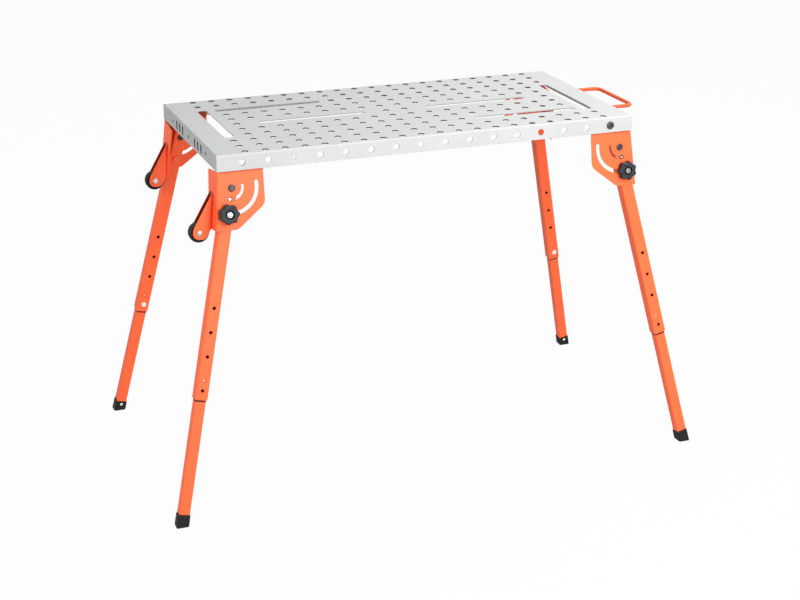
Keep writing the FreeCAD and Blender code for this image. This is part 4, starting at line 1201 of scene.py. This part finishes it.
class WELDTABLE_OT_feet(Operator):
    """Mould the four feet and drive their screws"""

    bl_idname = "weld_table.feet"
    bl_label = "Feet"

    def execute(self, context):
        sizes = context.scene.weld_table_legs
        draw_screw = partial(draw_socket_bolt, head=8, height=2, shank=4, tip=-6.4)
        # The foot is drawn with z up the leg, x as the leg's x and y as its outward side.
        upright = along(z=LEG_AXIS) @ axis_turn((1, 0, 0), (0, 0, -1), (0, 1, 0))
        screw = along(y=-FOOT_SCREW_REACH, z=LEG_AXIS - mm(sizes.foot) / 2) @ FACE_IN
        for corner in CORNERS:
            leg, body = leg_place(corner), f"inner_leg_{corner}"
            place = leg @ upright
            draw = partial(draw_foot, sizes=sizes, floor=place[2])
            build(f"foot_cap_{corner}", "foot_plastic", body, f"foot_{corner}", (draw, place))
            build(f"foot_pin_{corner}", "zinc", body, f"foot_screw_{corner}", (draw_screw, leg @ screw))
        return {"FINISHED"}


class WELDTABLE_OT_knobs(Operator):
    """Mould the four star knobs with their bushes and bolts"""

    bl_idname = "weld_table.knobs"
    bl_label = "Star knobs"

    def execute(self, context):
        back = LEG_AXIS - mm(context.scene.weld_table_legs.outer) / 2
        bush = [(4.05, 15.3), (6.95, 15.3), (6.95, 23.5), (6.2, 24.3), (4.9, 24.3), (4.05, 23.4)]
        head = [(3.0, -4), (6.5, -3.9), (8.4, -2.6), (9.0, -0.8), (9.0, 0), (4.0, 0)]
        head = [(radius, back + rise) for radius, rise in head]
        stud = [(4.0, back), (4.0, 23.0), (3.2, 23.9), (1.6, 24.1)]
        draw_lobes = partial(draw_knob, sizes=context.scene.weld_table_fittings)
        # The bush and the stud are darkened all over as a painted reflection of the dark knob.
        draw_bush = partial(
            turned, steps=bush, segments=36, rim=(3, 5), shade=KNOB_STEEL_SHADE, bored=True
        )
        draw_head = partial(turned, steps=head, segments=32, rim=(1, 2))
        draw_stud = partial(turned, steps=stud, segments=32, rim=(2,), shade=KNOB_STEEL_SHADE)
        for corner in CORNERS:
            place = leg_place(corner) @ along(y=-KNOB_REACH)
            knob, leg, bolt = f"knob_{corner}", f"leg_{corner}", f"knob_bolt_{corner}"
            build(f"star_knob_{corner}", "knob_plastic", knob, knob, (draw_lobes, place))
            build(f"knob_bush_{corner}", "zinc", knob, f"knob_insert_{corner}", (draw_bush, place))
            build(f"knob_bolt_head_{corner}", "orange_coat", leg, bolt, (draw_head, place))
            build(f"knob_stud_{corner}", "zinc", leg, bolt, (draw_stud, place))
        return {"FINISHED"}


class WELDTABLE_OT_pins(Operator):
    """Make the detent pins, snap buttons and lock bolts of the legs"""

    bl_idname = "weld_table.pins"
    bl_label = "Pins and buttons"

    def execute(self, context):
        flats = mm(context.scene.weld_table_fittings.bolt_flats)
        legs = context.scene.weld_table_legs
        seat = mm(legs.inner) / 2 - mm(legs.inner_wall) - FIT
        button = [(5.5, -1.5), (5.5, 0), (4.0, 0), (4.0, 0.7), (3.6, 1.5), (2.7, 1.9), (1.0, 2.0)]
        draw_button = partial(turned, steps=[(radius, seat + rise) for radius, rise in button])
        draw_lock = partial(draw_hex_bolt, flats=flats, height=BOLT_HEAD, base=0, shank=BOLT, tip=-2.2)
        lock = along(y=-LOCK_REACH, z=LEG_AXIS - mm(legs.outer) / 2) @ FACE_IN
        for corner in CORNERS:
            leg, node = leg_place(corner), f"detent_pin_{corner}"
            build(f"detent_{corner}", "zinc", node, node, (draw_detent, leg @ along(y=-DETENT_REACH)))
            for way, label in ((1, "out"), (-1, "in")):
                turn = axis_turn((way, 0, 0), (0, 1, 0), (0, 0, way))
                place = leg @ along(y=-SNAP_REACH, z=LEG_AXIS) @ turn
                node = f"snap_{label}_{corner}"
                build(f"button_{label}_{corner}", "button_coat", node, node, (draw_button, place))
            node = f"lock_bolt_{corner}"
            build(f"lock_screw_{corner}", "zinc", f"leg_{corner}", node, (draw_lock, leg @ lock))
        return {"FINISHED"}


class WELDTABLE_OT_bolts(Operator):
    """Make the pivot bolts, their nuts and the two apron bolts"""

    bl_idname = "weld_table.bolts"
    bl_label = "Pivot and apron bolts"

    def execute(self, context):
        flats = mm(context.scene.weld_table_fittings.bolt_flats)
        sheet = mm(context.scene.weld_table_brackets.sheet)
        end = LEG_AXIS - mm(context.scene.weld_table_legs.outer) / 2 - NUT_CLEAR - PIVOT_NUT
        draw_bolt = partial(
            draw_hex_bolt, flats=flats, height=BOLT_HEAD, base=sheet, shank=BOLT, tip=end, flange=18.5
        )
        draw_end = partial(draw_nut, flats=flats, height=PIVOT_NUT, bore=8.1)
        bolts = [(draw_bolt, bracket_place(corner)) for corner in CORNERS]
        nuts = [(draw_end, place @ along(z=end)) for _, place in bolts]
        build("pivot_bolt_set", "black_bolt", "table", "pivot_bolts", *bolts)
        build("pivot_nut_set", "black_bolt", "table", "pivot_nuts", *nuts)
        draw_head = partial(draw_socket_bolt, head=20, height=5, shank=12, tip=-6)
        side = -mm(context.scene.weld_table_top.wide) / 2000
        heads = []
        for way in (1, -1):
            at = (way * SIDE_HOLES[-1] / 1000, way * side, (TOP_Z - APRON_ROW) / 1000)
            heads.append((draw_head, place_of((way, 0, 0), (0, 0, 1), (0, -way, 0), at)))
        build("apron_bolt_set", "black_bolt", "table", "apron_bolts", *heads)
        return {"FINISHED"}


class WELDTABLE_OT_wheels(Operator):
    """Make the two transport wheels with their forks and axles"""

    bl_idname = "weld_table.wheels"
    bl_label = "Transport wheels"

    def execute(self, context):
        sizes = context.scene.weld_table_brackets
        half = mm(sizes.fork_gap) / 2 + mm(sizes.fork_sheet)
        end = [(3.0, 3), (5.6, 2.7), (6.8, 1.8), (7.0, 0.5), (6.8, 0), (4.0, 0)]
        axle = [(radius, -half - rise) for radius, rise in end]
        axle += [(radius, -height) for radius, height in reversed(axle)]
        # Painted shade: the axles are dimmed in their colour, a darker painted reflection.
        draw_axle = partial(turned, steps=axle, segments=28, rim=(2, 3, 9, 10), shade=AXLE_SHADE)
        draw_cheeks = partial(draw_fork, sizes=sizes)
        draw_roller = partial(draw_wheel, sizes=context.scene.weld_table_fittings)
        web = along(x=-AXLE_REACH) @ axis_turn((0, -1, 0), (0, 0, 1), (-1, 0, 0))
        axles = []
        for side in WHEEL_CORNERS:
            place, wheel = fork_place(side), f"wheel_{side}"
            across = place @ axis_turn((0, 0, 1), (1, 0, 0), (0, 1, 0))
            build(f"fork_{side}", "orange_coat", "table", f"wheel_fork_{side}", (draw_cheeks, place @ web))
            build(f"roller_{side}", "wheel_plastic", wheel, wheel, (draw_roller, across))
            axles.append((draw_axle, across))
        build("axle_pair", "zinc", "table", "wheel_axles", *axles)
        return {"FINISHED"}


class WELDTABLE_OT_handle(Operator):
    """Bend the carrying handle and set its nuts"""

    bl_idname = "weld_table.handle"
    bl_label = "Carrying handle"

    def execute(self, context):
        top = context.scene.weld_table_top
        half_long = mm(top.long) / 2
        inside = half_long - mm(top.sheet)
        draw = partial(
            draw_handle,
            sizes=context.scene.weld_table_fittings,
            reach=half_long + HANDLE_REACH,
            tail=inside - HANDLE_TAIL,
        )
        level = level_place(TOP_Z - APRON_ROW)
        build("carry_handle", "orange_coat", "table", "handle", (draw, level))
        draw_end = partial(draw_nut, flats=16, height=HANDLE_NUT, bore=10.2)
        turn = axis_turn((0, 1, 0), (0, 0, 1), (1, 0, 0))
        nuts = [
            (draw_end, level @ along(inside - HANDLE_NUT, way * HANDLE_HALF) @ turn) for way in (-1, 1)
        ]
        build("handle_nut_set", "zinc", "table", "handle_nuts", *nuts)
        return {"FINISHED"}


class WELDTABLE_OT_stage(Operator):
    """Set the floor, the soft light and the camera"""

    bl_idname = "weld_table.stage"
    bl_label = "Stage"

    def execute(self, context):
        scene = context.scene
        scene.view_settings.view_transform = "Standard"
        bm = bmesh.new()
        bmesh.ops.create_grid(bm, x_segments=1, y_segments=1, size=FLOOR_HALF, matrix=along(z=-FLOOR_DROP))
        mesh = bpy.data.meshes.new("studio_floor")
        bm.to_mesh(mesh)
        bm.free()
        mesh.materials.append(floor_material())
        floor = bpy.data.objects.new("studio_floor", mesh)
        scene.collection.objects.link(floor)
        set_world(scene)
        for lamp in LAMPS:
            soft_box(scene, *lamp)
        set_camera(scene)
        return {"FINISHED"}


def white_rays(tree):
    """One for the rays that show the background to the camera, also in metal or through glass."""
    path = add_node(tree, "ShaderNodeLightPath").outputs
    mirrored = calculate(tree, "MAXIMUM", path["Is Camera Ray"], path["Is Glossy Ray"])
    return calculate(tree, "MAXIMUM", mirrored, path["Is Transmission Ray"])


def floor_material():
    """A pale floor that stays near white to the camera, keeps a soft shadow and is clear from below."""
    material = bpy.data.materials.new("pale_floor")
    material.use_nodes = True
    tree = material.node_tree
    shader = tree.nodes["Principled BSDF"]
    shader.inputs["Base Color"].default_value = (FLOOR_GREY, FLOOR_GREY, FLOOR_GREY, 1.0)
    shader.inputs["Roughness"].default_value = 0.9
    shader.inputs["Specular IOR Level"].default_value = 0.1
    glow = add_node(tree, "ShaderNodeEmission", {"Color": WHITE, "Strength": 1.0}).outputs[0]
    share = calculate(tree, "MULTIPLY", white_rays(tree), FLOOR_WHITE)
    above = add_node(tree, "ShaderNodeMixShader", {0: share, 1: shader.outputs[0], 2: glow}).outputs[0]
    below = add_node(tree, "ShaderNodeNewGeometry").outputs["Backfacing"]
    clear = add_node(tree, "ShaderNodeBsdfTransparent").outputs[0]
    both = add_node(tree, "ShaderNodeMixShader", {0: below, 1: above, 2: clear}).outputs[0]
    feed(tree, tree.nodes["Material Output"].inputs["Surface"], both)
    return material


def set_world(scene):
    """Even pale light from all round, and a white background."""
    world = bpy.data.worlds.new("studio")
    scene.world = world
    world.use_nodes = True
    tree = world.node_tree
    back = tree.nodes["Background"].inputs
    back["Color"].default_value = WHITE
    levels = {"Value": white_rays(tree), "To Min": AMBIENT, "To Max": 1.0}
    feed(tree, back["Strength"], add_node(tree, "ShaderNodeMapRange", levels).outputs[0])


def soft_box(scene, name, at, towards, size, power):
    """A round area lamp turned to its aim."""
    lamp = bpy.data.lights.new(name, "AREA")
    lamp.shape = "DISK"
    lamp.size = size
    lamp.energy = power
    box = bpy.data.objects.new(name, lamp)
    box.location = at
    box.rotation_euler = (Vector(towards) - Vector(at)).to_track_quat("-Z", "Y").to_euler()
    scene.collection.objects.link(box)


def set_camera(scene):
    """The camera of the photograph, solved from the top's hole grid."""
    camera = bpy.data.cameras.new("camera")
    camera.sensor_width = 36.0
    camera.lens = 75.662
    camera.clip_end = 200
    eye = bpy.data.objects.new("camera", camera)
    right = (0.934738, -0.355333, 0.001956)
    up = (0.124476, 0.332593, 0.934819)
    back = (-0.332823, -0.873568, 0.355118)
    eye.matrix_world = along(-1.5028, -3.98331, 1.98463) @ axis_turn(right, up, back)
    scene.collection.objects.link(eye)
    scene.camera = eye


class WELDTABLE_PT_panel(Panel):
    """Lists the sizes, the colours and the steps that build the table"""

    bl_idname = "WELDTABLE_PT_panel"
    bl_label = "Welding table"
    bl_space_type = "VIEW_3D"
    bl_region_type = "UI"
    bl_category = "Welding table"

    def draw(self, context):
        layout = self.layout
        for name, group in GROUPS.items():
            box = layout.box()
            box.label(text=group.__doc__.strip().rstrip("."))
            for key in group.__annotations__:
                box.prop(getattr(context.scene, name), key)
        for operator in OPERATORS:
            layout.operator(operator.bl_idname)


GROUPS = {
    "weld_table_top": TopSizes,
    "weld_table_brackets": BracketSizes,
    "weld_table_legs": LegSizes,
    "weld_table_fittings": FittingSizes,
    "weld_table_colours": FinishColours,
}
OPERATORS = (
    WELDTABLE_OT_top,
    WELDTABLE_OT_brackets,
    WELDTABLE_OT_outer_legs,
    WELDTABLE_OT_inner_legs,
    WELDTABLE_OT_feet,
    WELDTABLE_OT_knobs,
    WELDTABLE_OT_pins,
    WELDTABLE_OT_bolts,
    WELDTABLE_OT_wheels,
    WELDTABLE_OT_handle,
    WELDTABLE_OT_stage,
)


def register():
    for kind in (*GROUPS.values(), *OPERATORS, WELDTABLE_PT_panel):
        bpy.utils.register_class(kind)
    for name, group in GROUPS.items():
        setattr(bpy.types.Scene, name, PointerProperty(type=group))


def unregister():
    for name in GROUPS:
        delattr(bpy.types.Scene, name)
    for kind in (WELDTABLE_PT_panel, *reversed(OPERATORS), *reversed(GROUPS.values())):
        bpy.utils.unregister_class(kind)


def main():
    """Build every piece and the stage."""
    register()
    bpy.ops.weld_table.top()
    bpy.ops.weld_table.brackets()
    bpy.ops.weld_table.outer_legs()
    bpy.ops.weld_table.inner_legs()
    bpy.ops.weld_table.feet()
    bpy.ops.weld_table.knobs()
    bpy.ops.weld_table.pins()
    bpy.ops.weld_table.bolts()
    bpy.ops.weld_table.wheels()
    bpy.ops.weld_table.handle()
    bpy.ops.weld_table.stage()


if __name__ == "__main__":
    main()
